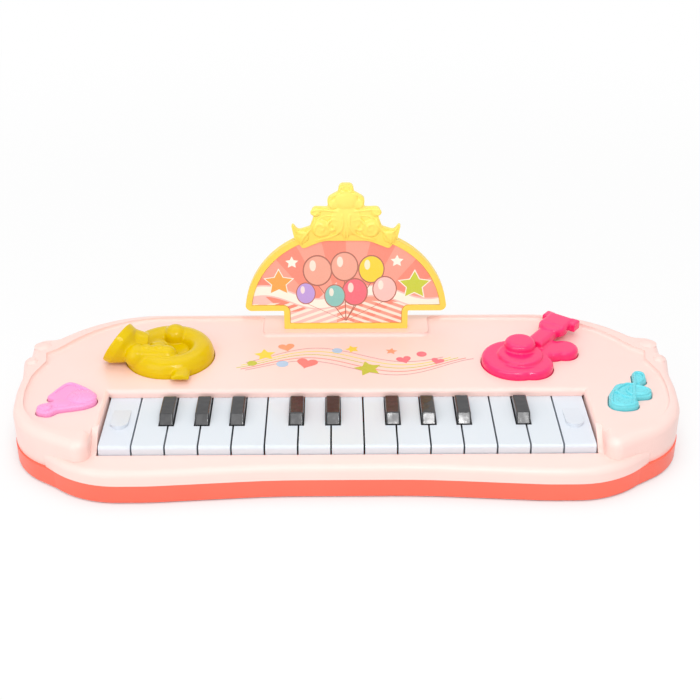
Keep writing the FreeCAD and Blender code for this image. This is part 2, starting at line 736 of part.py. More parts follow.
def sign_frame():
    plate = prism(rounded(sign_outline), (s.sign_y, sign_back), "XZ")
    crest = prism(rounded(crest_outline), crest_y, "XZ")
    crest_back = prism(rounded(inset(crest_outline, 1.2)), (crest_y[0] + 1, sign_back), "XZ")
    tongue_x = s.sign_tongue_width / 2
    tongue = box((-tongue_x, tongue_x), (socket_y, socket_y + s.sign_tongue),
                 (rim_top - s.sign_tongue_depth, rim_top + 2))
    recess_y = (s.sign_y - 1, s.sign_y + s.sign_recess)
    recess = prism(rounded(inset(sign_outline, s.sign_border)), recess_y, "XZ")
    plate = cut(plate, recess)
    bosses = [sign_disc(0, 96.5, 5.5, crest_y[0] - 1.2), sign_disc(0, 82, 8, crest_y[0] - 1)]
    for side in (-1, 1):
        bosses.append(sign_disc(19.6 * side, 87, 2.4, crest_y[0] - 1))
        bosses.append(sign_disc(16 * side, 75.5, 5, crest_y[0] - 0.9))
        bosses.append(sign_disc(29 * side, 70, 3.4, crest_y[0] - 0.8))
        bosses.append(sign_disc(7.5 * side, 93, 2.4, crest_y[0] - 0.8))
    return fuse(plate, crest, crest_back, tongue, *bosses)


node("sign_frame", sign_frame())
card_back = s.sign_y + s.sign_recess
card_outline = inset(sign_outline, s.sign_border + s.slot_gap)
card = prism(rounded(card_outline), (card_back - s.card_thickness, card_back), "XZ")
card_mask = prism(rounded(inset(crest_outline, -s.slot_gap)), (s.sign_y - 2, card_back + 1), "XZ")
node("sign_card", cut(card, card_mask))


# Keys.
def front_edge(edge):
    """The upper front edge of a white key."""
    bounds = edge.BoundBox
    level = abs(bounds.ZMin - float(key_top)) < 0.01 and abs(bounds.ZMax - float(key_top)) < 0.01
    return level and abs(bounds.YMax - float(s.key_front_y)) < 0.01


pivot_limits = (s.pivot_y - s.lug_size / 2, s.pivot_y + s.lug_size / 2)
lug_z = (s.pivot_z - 4, key_top - 3)
white_back = s.key_back_y + 6
black_back = s.key_back_y - 1.5
notch_half = s.black_width / 2 + s.black_gap


def bore(middle):
    """The hole for the pivot rod through a key's lug."""
    return bar((middle - 8, middle + 8), s.pivot_y, s.pivot_z, s.pivot_radius + s.pivot_fit)


def white_key(index):
    """A white key, cut away beside its black neighbours."""
    middle = slot_x(index)
    half = (s.key_pitch - s.key_gap) / 2
    block = box((middle - half, middle + half), (s.key_front_y, white_back), (key_low, key_top))
    block = rounding(block, s.key_round, front_edge)
    hollow_x = half - s.key_shell
    hollow_y = (s.key_front_y + s.key_shell, s.black_front_y - s.key_shell)
    tools = [box((middle - hollow_x, middle + hollow_x), hollow_y, (key_low - 1, key_top - s.key_shell))]
    for line in (index, index + 1):
        if line in BLACK_OFFSET:
            edge = black_x(line)
            notch_y = (s.black_front_y - s.black_gap, white_back + 1)
            tools.append(box((edge - notch_half, edge + notch_half), notch_y, (key_low - 1, key_top + 1)))
    block = cut(block, *tools)
    lug_half = s.lug_width / 2
    lug = box((middle - lug_half, middle + lug_half), (white_back - 4, pivot_limits[1]), lug_z)
    plunger = cylinder(middle, s.plunger_y, (s.plunger_z, key_low + 1), s.plunger_radius)
    return cut(fuse(block, lug, plunger), bore(middle))


def black_key(line):
    """A black key with a sloping front and rounded back."""
    middle = black_x(line)
    half = s.black_width / 2
    top = key_top + s.black_rise
    side = rounded([
        (s.black_front_y, key_low, 0),
        (s.black_front_y, key_top + 0.5, 0.5),
        (s.black_front_y + s.black_slope, top, 1.2),
        (black_back - 4.5, top - 0.8, 3),
        (black_back, key_top, 1),
        (black_back, key_low, 0),
    ])
    block = prism(side, (middle - half, middle + half), "YZ")

    def upper_side(edge):
        bounds = edge.BoundBox
        return bounds.ZMax > float(key_top) + 1.5 and bounds.XLength < 0.01 and bounds.YLength > 0.1

    block = rounding(block, 1.0, upper_side)
    lug_half = s.black_lug_width / 2
    lug_middle = line_x(line) + BLACK_OFFSET[line] / 2
    lug = box((lug_middle - lug_half, lug_middle + lug_half), (black_back - 3, pivot_limits[1]), lug_z)
    plunger = cylinder(middle, s.black_plunger_y, (s.plunger_z, key_low + 1), s.plunger_radius)
    return cut(fuse(block, lug, plunger), bore(middle))


def end_key(index):
    """An outer key with a thumb rest that rises to the front."""
    rest_y = s.key_front_y + 25
    depth = (dim(-2.9), dim(0))
    rest = fuse(cylinder(0, 0, depth, 5.5), box((dim(-5.5), dim(5.5)), (dim(0), dim(20)), depth))
    put(rest, slot_x(index), rest_y, key_top + 1.7, FreeCAD.Rotation(V(1, 0, 0), -6))
    return fuse(white_key(index), rest)


node("left_end_key", end_key(0))
node("right_end_key", end_key(SLOTS - 1))
for number in range(1, SLOTS - 1):
    node(f"white_key_{number:02d}", white_key(number))
for number, line in enumerate(BLACK_OFFSET, start=1):
    node(f"black_key_{number:02d}", black_key(line))
node("key_rod", bar((-rod_end, rod_end), s.pivot_y, s.pivot_z, s.pivot_radius))
node("key_stop_felt", box((-opening_x, opening_x), felt_y, (felt_top - s.felt_thickness, felt_top)))
felt_reach = s.key_pitch * (SLOTS / 2)
rest_low = key_top + s.opening_gap - s.rest_felt
node("key_rest_felt", box((-felt_reach, felt_reach), (s.key_back_y, s.key_back_y + s.wall),
                          (rest_low, rest_low + s.rest_felt)))


# Boards with their domes.
def board(x, y, low, screws):
    """A circuit board with screw holes."""
    limits_x = (dim(x[0]), dim(x[1]))
    limits_y = (dim(y[0]), dim(y[1]))
    plate = box(limits_x, limits_y, (low, low + s.board_thickness))
    holes = [cylinder(px, py, (low - 1, low + s.board_thickness + 1), PIN_HOLE) for px, py in screws]
    return cut(plate, *holes)


board_reach = opening_x + 1
node("key_board", board((-board_reach, board_reach), (s.plunger_y - 9, s.black_plunger_y + 8), key_board_low,
                        key_board_screws))
mat_y = (s.plunger_y - 6, s.black_plunger_y + 6)
mat = box((-felt_reach, felt_reach), mat_y, (key_board_top, key_board_top + 0.8))
mat = cut(mat, *[cylinder(x, y, (key_board_top - 1, key_board_top + 3), 3.4) for x, y in key_board_screws])
domes = [cone(slot_x(i), s.plunger_y, (key_board_top + 0.5, dome_top), 4, 2.8) for i in range(SLOTS)]
domes += [cone(black_x(i), s.black_plunger_y, (key_board_top + 0.5, dome_top), 4, 2.8) for i in BLACK_OFFSET]
node("key_domes", fuse(mat, *domes))
node("main_board", board(*MAIN_BOARD, button_board_low, MAIN_SCREWS))
node("button_boards", group(*[board(x, y, button_board_low, screws) for x, y, screws in BUTTON_BOARDS]))
stem_dome = (button_board_top, button_board_top + s.dome_height)
node("button_domes", group(*[cone(x, y, stem_dome, 5, 3.2) for x, y in STEMS]))
blob = cylinder(-72, 44, (button_board_top, button_board_top + 1.6), 6.5)
node("chip_blob", rounding(blob, 1.2, flat_at(button_board_top + 1.6)))


# Deck buttons.
flange_z = (under_deck - 2.2, under_deck - 0.2)
skirt_low = flange_z[0]


def stem(place):
    """The post that presses a dome."""
    return cylinder(place[0], place[1], (stem_z, deck_top + 2), 3)


deck_clear = deck_top + s.button_travel + 0.4
BELL_AXIS = V(-0.803, 0.298, 0.516)
BELL_MOUTH = V(-33.9, -3.5, 13.6)


def bell_cone(back, foot, top, length):
    """A stretch of the bell, starting a distance back from its mouth."""
    item = doc.addObject("Part::Cone", "Bell")
    bind(item, Radius1=foot, Radius2=top, Height=length)
    place = BELL_MOUTH - BELL_AXIS * back
    turn = FreeCAD.Rotation(V(0, 0, 1), BELL_AXIS)
    return put(item, HORN[0] + place.x, HORN[1] + place.y, deck_top + place.z, turn)


def horn():
    """A coiled horn on a round button: ring, front tube, bell, mouthpiece and valve caps."""
    x, y = HORN
    body = cylinder(x, y, (skirt_low, deck_top + 3.8), horn_radius)
    tube = common(ring(x, y, deck_top + 3, horn_radius - 8.4, 8), cylinder(x, y, (deck_top, high_up), 40))
    hub = fuse(cylinder(x - 11, y + 1, (deck_top, deck_top + 7.5), 10.5), ball(x - 7, y - 6, deck_top + 6, 8))
    tube_y = y - 13.5
    tube_z = deck_top + 8.6
    front_tube = fuse(bar((dim(x - 20), dim(x)), tube_y, tube_z, 6.8), ball(x, tube_y, tube_z, 6.8),
                      ball(x - 20, tube_y, tube_z, 8))
    knob = ball(x + 2, y + 17.4, deck_top + 6, 8)
    lip_top = deck_top + 6.2
    lip = rounded([(x + 2.5, deck_clear, 0.8), (x + 6.5, lip_top, 3.5), (x + 13, lip_top, 3.5),
                   (x + 18, deck_clear, 0.8)])
    lip = prism(lip, (dim(y - 35.4), dim(y - 20)), "XZ")
    caps = [cylinder(x - 13 + step * 8, tube_y, (deck_top + 9, deck_top + 16.2), 2.6) for step in range(2)]
    throat = doc.addObject("Part::Cone", "Throat")
    bind(throat, Radius1=7.5, Radius2=9, Height=13.5)
    put(throat, x - 14.5, y - 1, deck_top + 10, FreeCAD.Rotation(V(0, 0, 1), V(-0.95, -0.1, 0.28)))
    mouth = fuse(bell_cone(14, 7.5, 14.2, 8.5), bell_cone(5.55, 14.2, 15, 5.55))
    bell = cut(fuse(throat, mouth), bell_cone(7, 6, 12.4, 7.1))
    below = (deck_top - 20, deck_clear)
    around = cut(box((dim(x - 60), dim(x + 60)), (dim(y - 60), dim(y + 60)), below),
                 cylinder(x, y, (deck_top - 1, high_up), horn_radius))
    figure = cut(fuse(tube, hub, front_tube, knob, lip, *caps, bell), around)
    flange = cylinder(x, y, flange_z, horn_radius + s.button_flange)
    hollow = cylinder(x, y, (skirt_low - 1, deck_top + 1), horn_radius - s.wall)
    return fuse(cut(fuse(body, figure, flange), hollow), stem(HORN))


NECK_ANGLE = -37
GUITAR_HEAD = (143.5, 59.5)


def guitar():
    """A guitar on a button of the same outline: body, two stacked discs, neck and a head with pegs."""
    body_top = deck_top + 5.5
    body = rounding(guitar_plan((skirt_low, body_top), 0), 2.5, flat_at(body_top))
    step_top = deck_top + 7.8
    low_disc = rounding(cylinder(113.8, 21.2, (deck_top + 4, step_top), 14.7), 1.2, flat_at(step_top))
    dome_cap = deck_top + 13
    high_disc = rounding(cylinder(114.4, 29, (deck_top + 4, dome_cap), 10.2), 3, flat_at(dome_cap))
    neck = turned_box(133.2, 46, deck_top + 3, (12.5, 30, 6.5), NECK_ANGLE)
    neck = rounding(neck, 2.5, flat_at(deck_top + 9.5))
    head = turned_box(*GUITAR_HEAD, deck_top + 5.5, (18.5, 17, 6), NECK_ANGLE)
    head = rounding(head, 2.2, flat_at(deck_top + 11.5))
    turn = FreeCAD.Rotation(V(0, 0, 1), NECK_ANGLE)
    spot = turn.multVec(V(0, -5.5, 0))
    cheek = cylinder(GUITAR_HEAD[0] + spot.x, GUITAR_HEAD[1] + spot.y, (deck_top + 5, deck_top + 11), 9.8)
    cheek = rounding(cheek, 2.2, flat_at(deck_top + 11))
    pegs = []
    for across in (-9.2, 9.2):
        spot = turn.multVec(V(across, 5.4, 0))
        place = (GUITAR_HEAD[0] + spot.x, GUITAR_HEAD[1] + spot.y)
        peg = turned_box(*place, deck_top + 4.5, (6.4, 8, 6.5), NECK_ANGLE)
        pegs.append(rounding(peg, 1.2, flat_at(deck_top + 11)))
    flange = guitar_plan(flange_z, s.button_flange)
    hollow = guitar_plan((skirt_low - 1, deck_top + 1), -s.wall)
    figure = fuse(body, low_disc, high_disc, neck, head, cheek, *pegs, flange)
    return fuse(cut(figure, hollow), stem(STEMS[1]))


def relief(outline, curls, place):
    """A low button with a rounded edge and round raised curls."""
    body_top = deck_top + 3
    body = rounding(prism(rounded(outline), (skirt_low, body_top)), 1.1, flat_at(body_top))
    raised = [ring(x, y, body_top, radius, 0.8) for x, y, radius in curls]
    flange = prism(rounded(inset(outline, -s.button_flange)), flange_z)
    return fuse(body, *raised, flange, stem(place))


node("horn_button", horn())
node("guitar_button", guitar())
node("note_button", relief(note_outline, ((-187.5, -36, 2.2), (-166.5, -22, 6)), STEMS[2]))
node("clef_button", relief(clef_outline, ((172, -29, 5.2), (184.5, -17.6, 4.2)), STEMS[3]))

# Speaker, facing the slots in the floor.
cone_top = floor_top + flange_thick + 8
flange_ring = cut(
    cylinder(0, s.speaker_y, (floor_top, floor_top + flange_thick), s.speaker_radius),
    cylinder(0, s.speaker_y, (floor_top - 1, floor_top + 3), s.speaker_radius - 5),
)
basket = cut(
    cone(0, s.speaker_y, (floor_top + flange_thick, cone_top), s.speaker_radius - 3, 12),
    cone(0, s.speaker_y, (floor_top + flange_thick - 0.1, cone_top - 1.2), s.speaker_radius - 4.2, 10.8),
)
node("speaker_frame", fuse(flange_ring, basket))
node("speaker_magnet", cylinder(0, s.speaker_y, (cone_top, floor_top + s.speaker_height), 12))
node("speaker_cone", cut(
    cone(0, s.speaker_y, (floor_top + 0.6, cone_top - 2), s.speaker_radius - 5, 5),
    cone(0, s.speaker_y, (floor_top + 0.5, cone_top - 2.8), s.speaker_radius - 5.8, 4.2),
))
node("speaker_screws", group(*[
    screw(*polar(speaker_screw_ring, angle), floor_top + flange_thick, 2, dim(PIN_RADIUS), 4.4, 1.4,
          up=False)
    for angle in SPEAKER_SCREW_ANGLES
]))

# Battery box contents and its door.
cell_rows = [s.battery_y + s.cell_pitch * row for row in (-1, 0, 1)]
cells = []
for number, row in enumerate(cell_rows):
    tip = 1 if number % 2 else -1
    cell_end = s.battery_x + s.cell_length / 2
    can = bar((s.battery_x - s.cell_length / 2, cell_end - 1), row, cell_z, s.cell_radius)
    nub = bar((cell_end - 2, cell_end), row, cell_z, 2.7)
    pair = fuse(can, nub)
    if tip < 0:
        put(pair, s.battery_x * 2, row * 2, 0, FreeCAD.Rotation(V(0, 0, 1), 180))
    cells.append(pair)
node("battery_cells", group(*cells))


def contact(row, side):
    """A bent leaf contact between the box wall and a cell."""
    wall = float(box_x) - 0.1
    leaf = [(wall, -4.5, 0), (wall, 4.5, 0), (wall - 0.5, 4.5, 0), (wall - 0.5, -2.8, 0.3), (25.7, 1.5, 0.6),
            (25.7, 3.5, 0), (25.2, 3.5, 0), (25.2, 1.2, 0.6), (wall - 0.9, -4.5, 0.2)]
    item = prism(rounded(leaf), (cell_z - 3.5, cell_z + 3.5))
    turn = FreeCAD.Rotation(V(0, 0, 1), 0 if side > 0 else 180)
    return put(item, s.battery_x, row, 0, turn)


node("battery_contacts", group(*[contact(row, side) for row in cell_rows for side in (-1, 1)]))
door_x = (s.battery_x - box_x + s.slot_gap, s.battery_x + box_x - s.slot_gap)
door_y = (s.battery_y - box_y + s.slot_gap, s.battery_y + box_y - s.slot_gap)
door_z = (base_low, base_low + s.door_thickness - 0.1)
door_tab_y = (s.battery_y - 5 + s.slot_gap, s.battery_y + 5 - s.slot_gap)
door_tab = box((door_x[1] - 2, tab_x + 5 - s.slot_gap), door_tab_y, door_z)
door_grips = [box((door_x[0] + 6 + step * 3, door_x[0] + 7.5 + step * 3), (s.battery_y - 8, s.battery_y + 8),
                  (base_low - 0.6, base_low + 0.5)) for step in range(4)]
door_hole = cylinder(tab_x, s.battery_y, (base_low - 1, base_low + 4), shank_hole)
node("battery_door", cut(fuse(box(door_x, door_y, door_z), door_tab, *door_grips), door_hole))
node("battery_door_screw", screw(tab_x, s.battery_y, base_low, dim(9), s.screw_radius, 2.8, 0.7))

# Power switch under the floor.
def switch_block(middle, half, height):
    """A block centred on the switch across its slot."""
    return box((middle - half[0], middle + half[0]), (s.switch_y - half[1], s.switch_y + half[1]), height)


switch_case = switch_block(s.switch_x, (9, 4), (floor_top, floor_top + 5.5))
slot_half = (stem_half[0] + s.switch_travel / 2 + knob_gap, stem_half[1] + knob_gap)
node("power_switch", cut(switch_case, switch_block(s.switch_x, slot_half, (floor_top - 1, floor_top + 3))))
knob_x = s.switch_x - s.switch_travel / 2
knob_cap = switch_block(knob_x, knob_half, (dim(0.5), floor_top - 0.3))
knob_stem = switch_block(knob_x, stem_half, (floor_top - 0.5, floor_top + 2.5))
node("power_knob", fuse(knob_cap, knob_stem))


# Leads inside the case.
def lead(points, bend):
    """A round lead along straight runs with equal bends."""
    places = [V(*[float(dim(value)) for value in point]) for point in points]
    edges = []
    last = places[0]
    for before, here, after in zip(places, places[1:], places[2:]):
        back = (before - here).normalize()
        ahead = (after - here).normalize()
        half = back.getAngle(ahead) / 2
        run = bend / math.tan(half)
        middle = here + (back + ahead).normalize() * (bend / math.sin(half) - bend)
        edges.append(Part.LineSegment(last, here + back * run).toShape())
        edges.append(Part.Arc(here + back * run, middle, here + ahead * run).toShape())
        last = here + ahead * run
    edges.append(Part.LineSegment(last, places[-1]).toShape())
    path = Part.Wire(edges)
    start = Part.Circle(places[0], places[1] - places[0], float(s.wire_radius)).toShape()
    item = doc.addObject("Part::Feature", "Lead")
    item.Shape = path.makePipeShell([Part.Wire([start])], True, False)
    return item


lead_z = button_board_top + s.wire_radius
lead_y = (58, 73.5)
battery_left = s.battery_x - box_x - s.wall
battery_leads = []
for step in (0, 1):
    start_y = lead_y[0] + step * 3
    run_y = lead_y[1] + step * 2
    down_x = -53.4 - step * 2
    battery_leads.append(lead([
        (battery_left, start_y, lead_z), (battery_left - 4, start_y, lead_z),
        (battery_left - 4, run_y, lead_z), (down_x, run_y, lead_z), (down_x, lead_y[0] + 2, lead_z),
    ], 2))
node("battery_leads", group(*battery_leads))
rim_z = floor_top + flange_thick + s.wire_radius
speaker_leads = []
for step in (0, 1):
    row = s.speaker_y - 3 + step * 3
    speaker_leads.append(lead([
        (-s.speaker_radius + 3, row, rim_z), (-s.speaker_radius - 8, row, rim_z),
        (-s.speaker_radius - 8, row, lead_z), (-48, row, lead_z),
    ], 2))
node("speaker_leads", group(*speaker_leads))
node("board_ribbon", box((dim(-78), dim(-64)), (s.black_plunger_y + 6.5, dim(MAIN_BOARD[1][0])),
                         (key_board_top, key_board_top + 0.8)))


if __name__ == "__main__":
    doc.recompute()
    for item in doc.Objects:
        if "Invalid" in item.State or "Error" in item.State:
            raise RuntimeError(f"{item.Label} did not build")
    os.makedirs("parts", exist_ok=True)
    for name, item in made.items():
        if item.Shape.isNull() or not item.Shape.isValid():
            raise RuntimeError(f"{name} has no valid shape")
        print(name, len(item.Shape.Solids), item.Shape.BoundBox)
        item.Shape.exportStep(f"parts/{name}.step")
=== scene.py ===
"""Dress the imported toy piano: moulded finishes, printed deck and sign card, reliefs and a white studio."""

import json
import logging
import math
from abc import ABC, abstractmethod
from dataclasses import dataclass, field
from enum import Enum
from typing import Iterable, Optional, Sequence, Union

import bmesh
import bpy
from mathutils import Matrix, Vector


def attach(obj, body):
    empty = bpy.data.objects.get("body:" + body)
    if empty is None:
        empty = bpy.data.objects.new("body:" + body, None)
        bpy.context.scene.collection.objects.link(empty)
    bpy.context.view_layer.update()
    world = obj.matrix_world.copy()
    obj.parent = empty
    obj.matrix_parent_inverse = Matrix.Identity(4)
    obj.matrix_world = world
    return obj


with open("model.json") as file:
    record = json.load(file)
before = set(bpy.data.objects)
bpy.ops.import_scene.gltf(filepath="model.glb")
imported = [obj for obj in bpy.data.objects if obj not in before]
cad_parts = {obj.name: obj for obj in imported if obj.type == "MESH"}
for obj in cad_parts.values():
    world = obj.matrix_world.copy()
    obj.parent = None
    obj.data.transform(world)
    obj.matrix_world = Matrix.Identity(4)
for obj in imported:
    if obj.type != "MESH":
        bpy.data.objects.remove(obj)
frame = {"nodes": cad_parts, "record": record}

LOG = logging.getLogger("toy_piano")
MM = 0.001

# Tips of a star, the share of its size where its inner corners lie, and the corners of a round outline
STAR_TIPS = 5
STAR_WAIST = 0.5
ROUND_STEPS = 36

Colour = tuple[float, float, float, float]
Point = tuple[float, float]
WHITE: Colour = (1.0, 1.0, 1.0, 1.0)


class Hue(Enum):
    """Colours of the toy, as written on a paint chart."""

    DECK = "#FBD8D0"
    DECK_SHADE = "#F8D0C7"
    CORAL = "#FF7058"
    CORAL_SHADE = "#F7634D"
    KEY = "#D9DFE5"
    KEY_SHADE = "#D3DAE1"
    END_KEY = "#DAE0E8"
    END_KEY_SHADE = "#D4DAE3"
    BLACK = "#18181B"
    BLACK_SHADE = "#1F1F23"
    HORN = "#E0C000"
    HORN_SHADE = "#D7B300"
    GUITAR = "#FB2873"
    GUITAR_SHADE = "#F31B68"
    NOTE = "#F79FD2"
    NOTE_SHADE = "#F090C8"
    CLEF = "#6FD8E2"
    CLEF_SHADE = "#5CCBD8"
    SIGN = "#F9DA5E"
    SIGN_SHADE = "#F4CF4A"
    CREST = "#F9E36C"
    CARD = "#F98570"
    CARD_RAY = "#FB9C88"
    BLUSH = "#FBC3BC"
    CREAM = "#FFF3E4"
    ORANGE = "#F7A23C"
    LIME = "#C2CF1E"
    OLIVE = "#B9BE00"
    TEAL = "#7FC4BD"
    ROSE = "#EE6478"
    LILAC = "#B79AE0"
    SALMON = "#EBA48E"
    OUTLINE = "#A9604F"
    SKY = "#A4C9E6"
    MAUVE = "#C98F92"
    SOFT_RED = "#F5746A"
    LEMON = "#F3D31A"
    APRICOT = "#F0986A"
    RUBBER = "#2B2B2B"
    RUBBER_SHADE = "#383838"
    SILICONE = "#BFBFB8"
    SILICONE_SHADE = "#ADADA6"
    STEEL = "#B9BABC"
    STEEL_SHADE = "#97989B"
    FELT = "#8A2F2C"
    FELT_SHADE = "#6E2321"
    BOARD = "#2F7A44"
    BOARD_SHADE = "#23603A"
    RESIN = "#111112"
    RESIN_SHADE = "#1B1B1D"
    JACKET = "#A8302B"
    JACKET_SHADE = "#8C2622"
    CELL = "#2C3350"
    CELL_SHADE = "#222842"

    @property
    def rgba(self) -> Colour:
        """The colour in linear light with full alpha, by the sRGB rule.

        Returns:
            Red, green, blue and alpha.
        """
        channels = [int(self.value[i:i + 2], 16) / 255 for i in (1, 3, 5)]
        red, green, blue = [c / 12.92 if c <= 0.04045 else ((c + 0.055) / 1.055) ** 2.4 for c in channels]
        return (red, green, blue, 1.0)


class Detail(Enum):
    """How finely noise is broken up."""

    SMOOTH = 1.0
    PLAIN = 2.0
    CLOUDY = 3.0
    TANGLED = 5.0


@dataclass(frozen=True, eq=False)
class Value:
    """One output of a shader tree, usable in Python arithmetic."""

    tree: "Tree"
    socket: bpy.types.NodeSocket

    def __add__(self, other: "Term") -> "Value":
        """self + other."""
        return self.tree.math("ADD", self, other)

    __radd__ = __add__

    def __sub__(self, other: "Term") -> "Value":
        """self - other."""
        return self.tree.math("SUBTRACT", self, other)

    def __rsub__(self, other: "Term") -> "Value":
        """other - self."""
        return self.tree.math("SUBTRACT", other, self)

    def __mul__(self, other: "Term") -> "Value":
        """self * other."""
        return self.tree.math("MULTIPLY", self, other)

    __rmul__ = __mul__

    def __truediv__(self, other: "Term") -> "Value":
        """self / other."""
        return self.tree.math("DIVIDE", self, other)

    def __rtruediv__(self, other: "Term") -> "Value":
        """other / self."""
        return self.tree.math("DIVIDE", other, self)

    def __lt__(self, other: "Term") -> "Value":
        """1 where self is below other, else 0."""
        return self.tree.math("LESS_THAN", self, other)

    def __gt__(self, other: "Term") -> "Value":
        """1 where self is above other, else 0."""
        return self.tree.math("GREATER_THAN", self, other)

    def __abs__(self) -> "Value":
        """The size of self without its sign."""
        return self.tree.math("ABSOLUTE", self)

    def sin(self) -> "Value":
        """Sine of self in radians."""
        return self.tree.math("SINE", self)

    def root(self) -> "Value":
        """Square root of self."""
        return self.tree.math("SQRT", self)


Term = Union[Value, float, int, Colour]
Sockets = dict[Union[str, int], Term]


def squares(side: Value, rise: Value) -> Value:
    """The square of a distance from its two parts."""
    return side * side + rise * rise


class Tree:
    """The node tree of one material or world."""

    def __init__(self, owner: Union[bpy.types.Material, bpy.types.World]) -> None:
        """Start from an empty tree.

        Args:
            owner: The material or world that the tree belongs to.
        """
        owner.use_nodes = True
        self.nodes = owner.node_tree.nodes
        self.links = owner.node_tree.links
        self.nodes.clear()

    def node(self, kind: str, settings: Optional[dict] = None, sockets: Optional[Sockets] = None,
             output: Union[int, str] = 0) -> Value:
        """Add any node.

        Args:
            kind: The node's type name.
            settings: Properties, set before the sockets.
            sockets: Inputs by name or number, each a number, a colour or a Value to link.
            output: Which output to return.

        Returns:
            That output, or the first input of a node that has no outputs.
        """
        item = self.nodes.new(kind)
        for name, setting in (settings or {}).items():
            setattr(item, name, setting)
        for name, term in (sockets or {}).items():
            if isinstance(term, Value):
                self.links.new(term.socket, item.inputs[name])
            else:
                item.inputs[name].default_value = term
        return Value(self, item.outputs[output] if item.outputs else item.inputs[0])

    def math(self, operation: str, *terms: Term) -> Value:
        """One Math node, with its inputs in order."""
        return self.node("ShaderNodeMath", {"operation": operation}, dict(enumerate(terms)))

    def mix(self, factor: Term, below: Term, above: Term) -> Value:
        """Blend two colours; factor 1 gives the upper one."""
        return self.node("ShaderNodeMix", {"data_type": "RGBA"}, {0: factor, 6: below, 7: above}, output=2)

    def place(self) -> Value:
        """The point on the piece, in metres, moving with it."""
        return self.node("ShaderNodeTexCoord", output="Object")

    def axes(self, place: Value) -> tuple[Value, Value, Value]:
        """The three parts of a point."""
        parts = self.node("ShaderNodeSeparateXYZ", None, {"Vector": place}).socket.node.outputs
        return Value(self, parts[0]), Value(self, parts[1]), Value(self, parts[2])

    def noise(self, place: Value, scale: float, detail: Detail = Detail.PLAIN) -> Value:
        """Cloudy noise between 0 and 1, with scale in waves to the metre."""
        sockets = {"Vector": place, "Scale": scale, "Detail": detail.value}
        return self.node("ShaderNodeTexNoise", None, sockets)

    def bump(self, height: Value, strength: float, distance: float) -> Value:
        """A surface normal roughened by a height."""
        sockets = {"Height": height, "Strength": strength, "Distance": distance}
        return self.node("ShaderNodeBump", None, sockets)

    def ease(self, value: Value, start: float, end: float, low: float = 0.0, high: float = 1.0) -> Value:
        """A smooth step along a value, from low up to the start to high from the end on."""
        sockets = {"Value": value, "From Min": start, "From Max": end, "To Min": low, "To Max": high}
        return self.node("ShaderNodeMapRange", {"interpolation_type": "SMOOTHSTEP"}, sockets)

    def surface(self, shader: Value) -> None:
        """Send a shader to the material's surface."""
        self.node("ShaderNodeOutputMaterial", None, {"Surface": shader})


class Finish(ABC):
    """What a surface is made of."""

    def material(self, name: str) -> bpy.types.Material:
        """Build the finish as a material.

        Args:
            name: The material's name.

        Returns:
            The material.
        """
        material = bpy.data.materials.new(name)
        tree = Tree(material)
        tree.surface(tree.node("ShaderNodeBsdfPrincipled", None, self.sockets(tree)))
        return material

    @abstractmethod
    def sockets(self, tree: Tree) -> Sockets:
        """What the main shader is fed, from nodes added to a tree."""


@dataclass(frozen=True)
class MouldedPlastic(Finish):
    """Moulded plastic: a faint mottle of two tones, uneven gloss and a fine grain.

    The ripple is a slow unevenness, as a multiple of the grain's height, and the high tone a second
    colour that takes over between two heights.
    """

    tone: Hue
    shade: Hue
    roughness: float = 0.36
    grain: float = 0.06
    coat: float = 0.0
    specular: float = 0.5
    high_tone: Optional[Hue] = None
    high_z: Point = (95.0 * MM, 125.0 * MM)
    ripple: float = 0.0
    cloud_scale: float = 28.0
    speck_scale: float = 900.0
    ripple_scale: float = 150.0
    mottle: float = 0.7
    cloud_gloss: float = 0.1
    speck_gloss: float = 0.06
    grain_depth: float = 0.2 * MM
    coat_roughness: float = 0.12

    def sockets(self, tree: Tree) -> Sockets:
        """Feed the main shader.

        Args:
            tree: Where the nodes go.

        Returns:
            The shader's inputs.
        """
        place = tree.place()
        cloud = tree.noise(place, self.cloud_scale, Detail.CLOUDY)
        speck = tree.noise(place, self.speck_scale)
        relief = speck
        if self.ripple:
            relief = speck + tree.noise(place, self.ripple_scale, Detail.SMOOTH) * self.ripple
        least = self.roughness - (self.cloud_gloss + self.speck_gloss) / 2
        sockets = {
            "Base Color": self._colour(tree, place, cloud),
            "Roughness": cloud * self.cloud_gloss + speck * self.speck_gloss + least,
            "Normal": tree.bump(relief, self.grain, self.grain_depth),
            "Specular IOR Level": self.specular,
        }
        if self.coat:
            sockets["Coat Weight"] = self.coat
            sockets["Coat Roughness"] = self.coat_roughness
        return sockets

    def _colour(self, tree: Tree, place: Value, cloud: Value) -> Value:
        """The mottled tone, running into the high tone where there is one.

        Args:
            tree: Where the nodes go.
            place: The point on the piece.
            cloud: The noise that mottles it.

        Returns:
            The colour.
        """
        colour = tree.mix(cloud * self.mottle, self.tone.rgba, self.shade.rgba)
        if self.high_tone is None:
            return colour
        _, _, up = tree.axes(place)
        return tree.mix(tree.ease(up, *self.high_z), colour, self.high_tone.rgba)


@dataclass(frozen=True)
class Speckled(Finish):
    """Two tones in one noise, which also makes the gloss and the surface uneven."""

    tone: Hue
    shade: Hue
    roughness: float
    scale: float
    detail: Detail
    metallic: float
    speck_gloss: float
    speck_bump: float
    speck_depth: float

    def sockets(self, tree: Tree) -> Sockets:
        """Feed the main shader.

        Args:
            tree: Where the nodes go.

        Returns:
            The shader's inputs.
        """
        speck = tree.noise(tree.place(), self.scale, self.detail)
        return {
            "Base Color": tree.mix(speck, self.tone.rgba, self.shade.rgba),
            "Metallic": self.metallic,
            "Roughness": speck * self.speck_gloss + (self.roughness - self.speck_gloss / 2),
            "Normal": tree.bump(speck, self.speck_bump, self.speck_depth),
        }


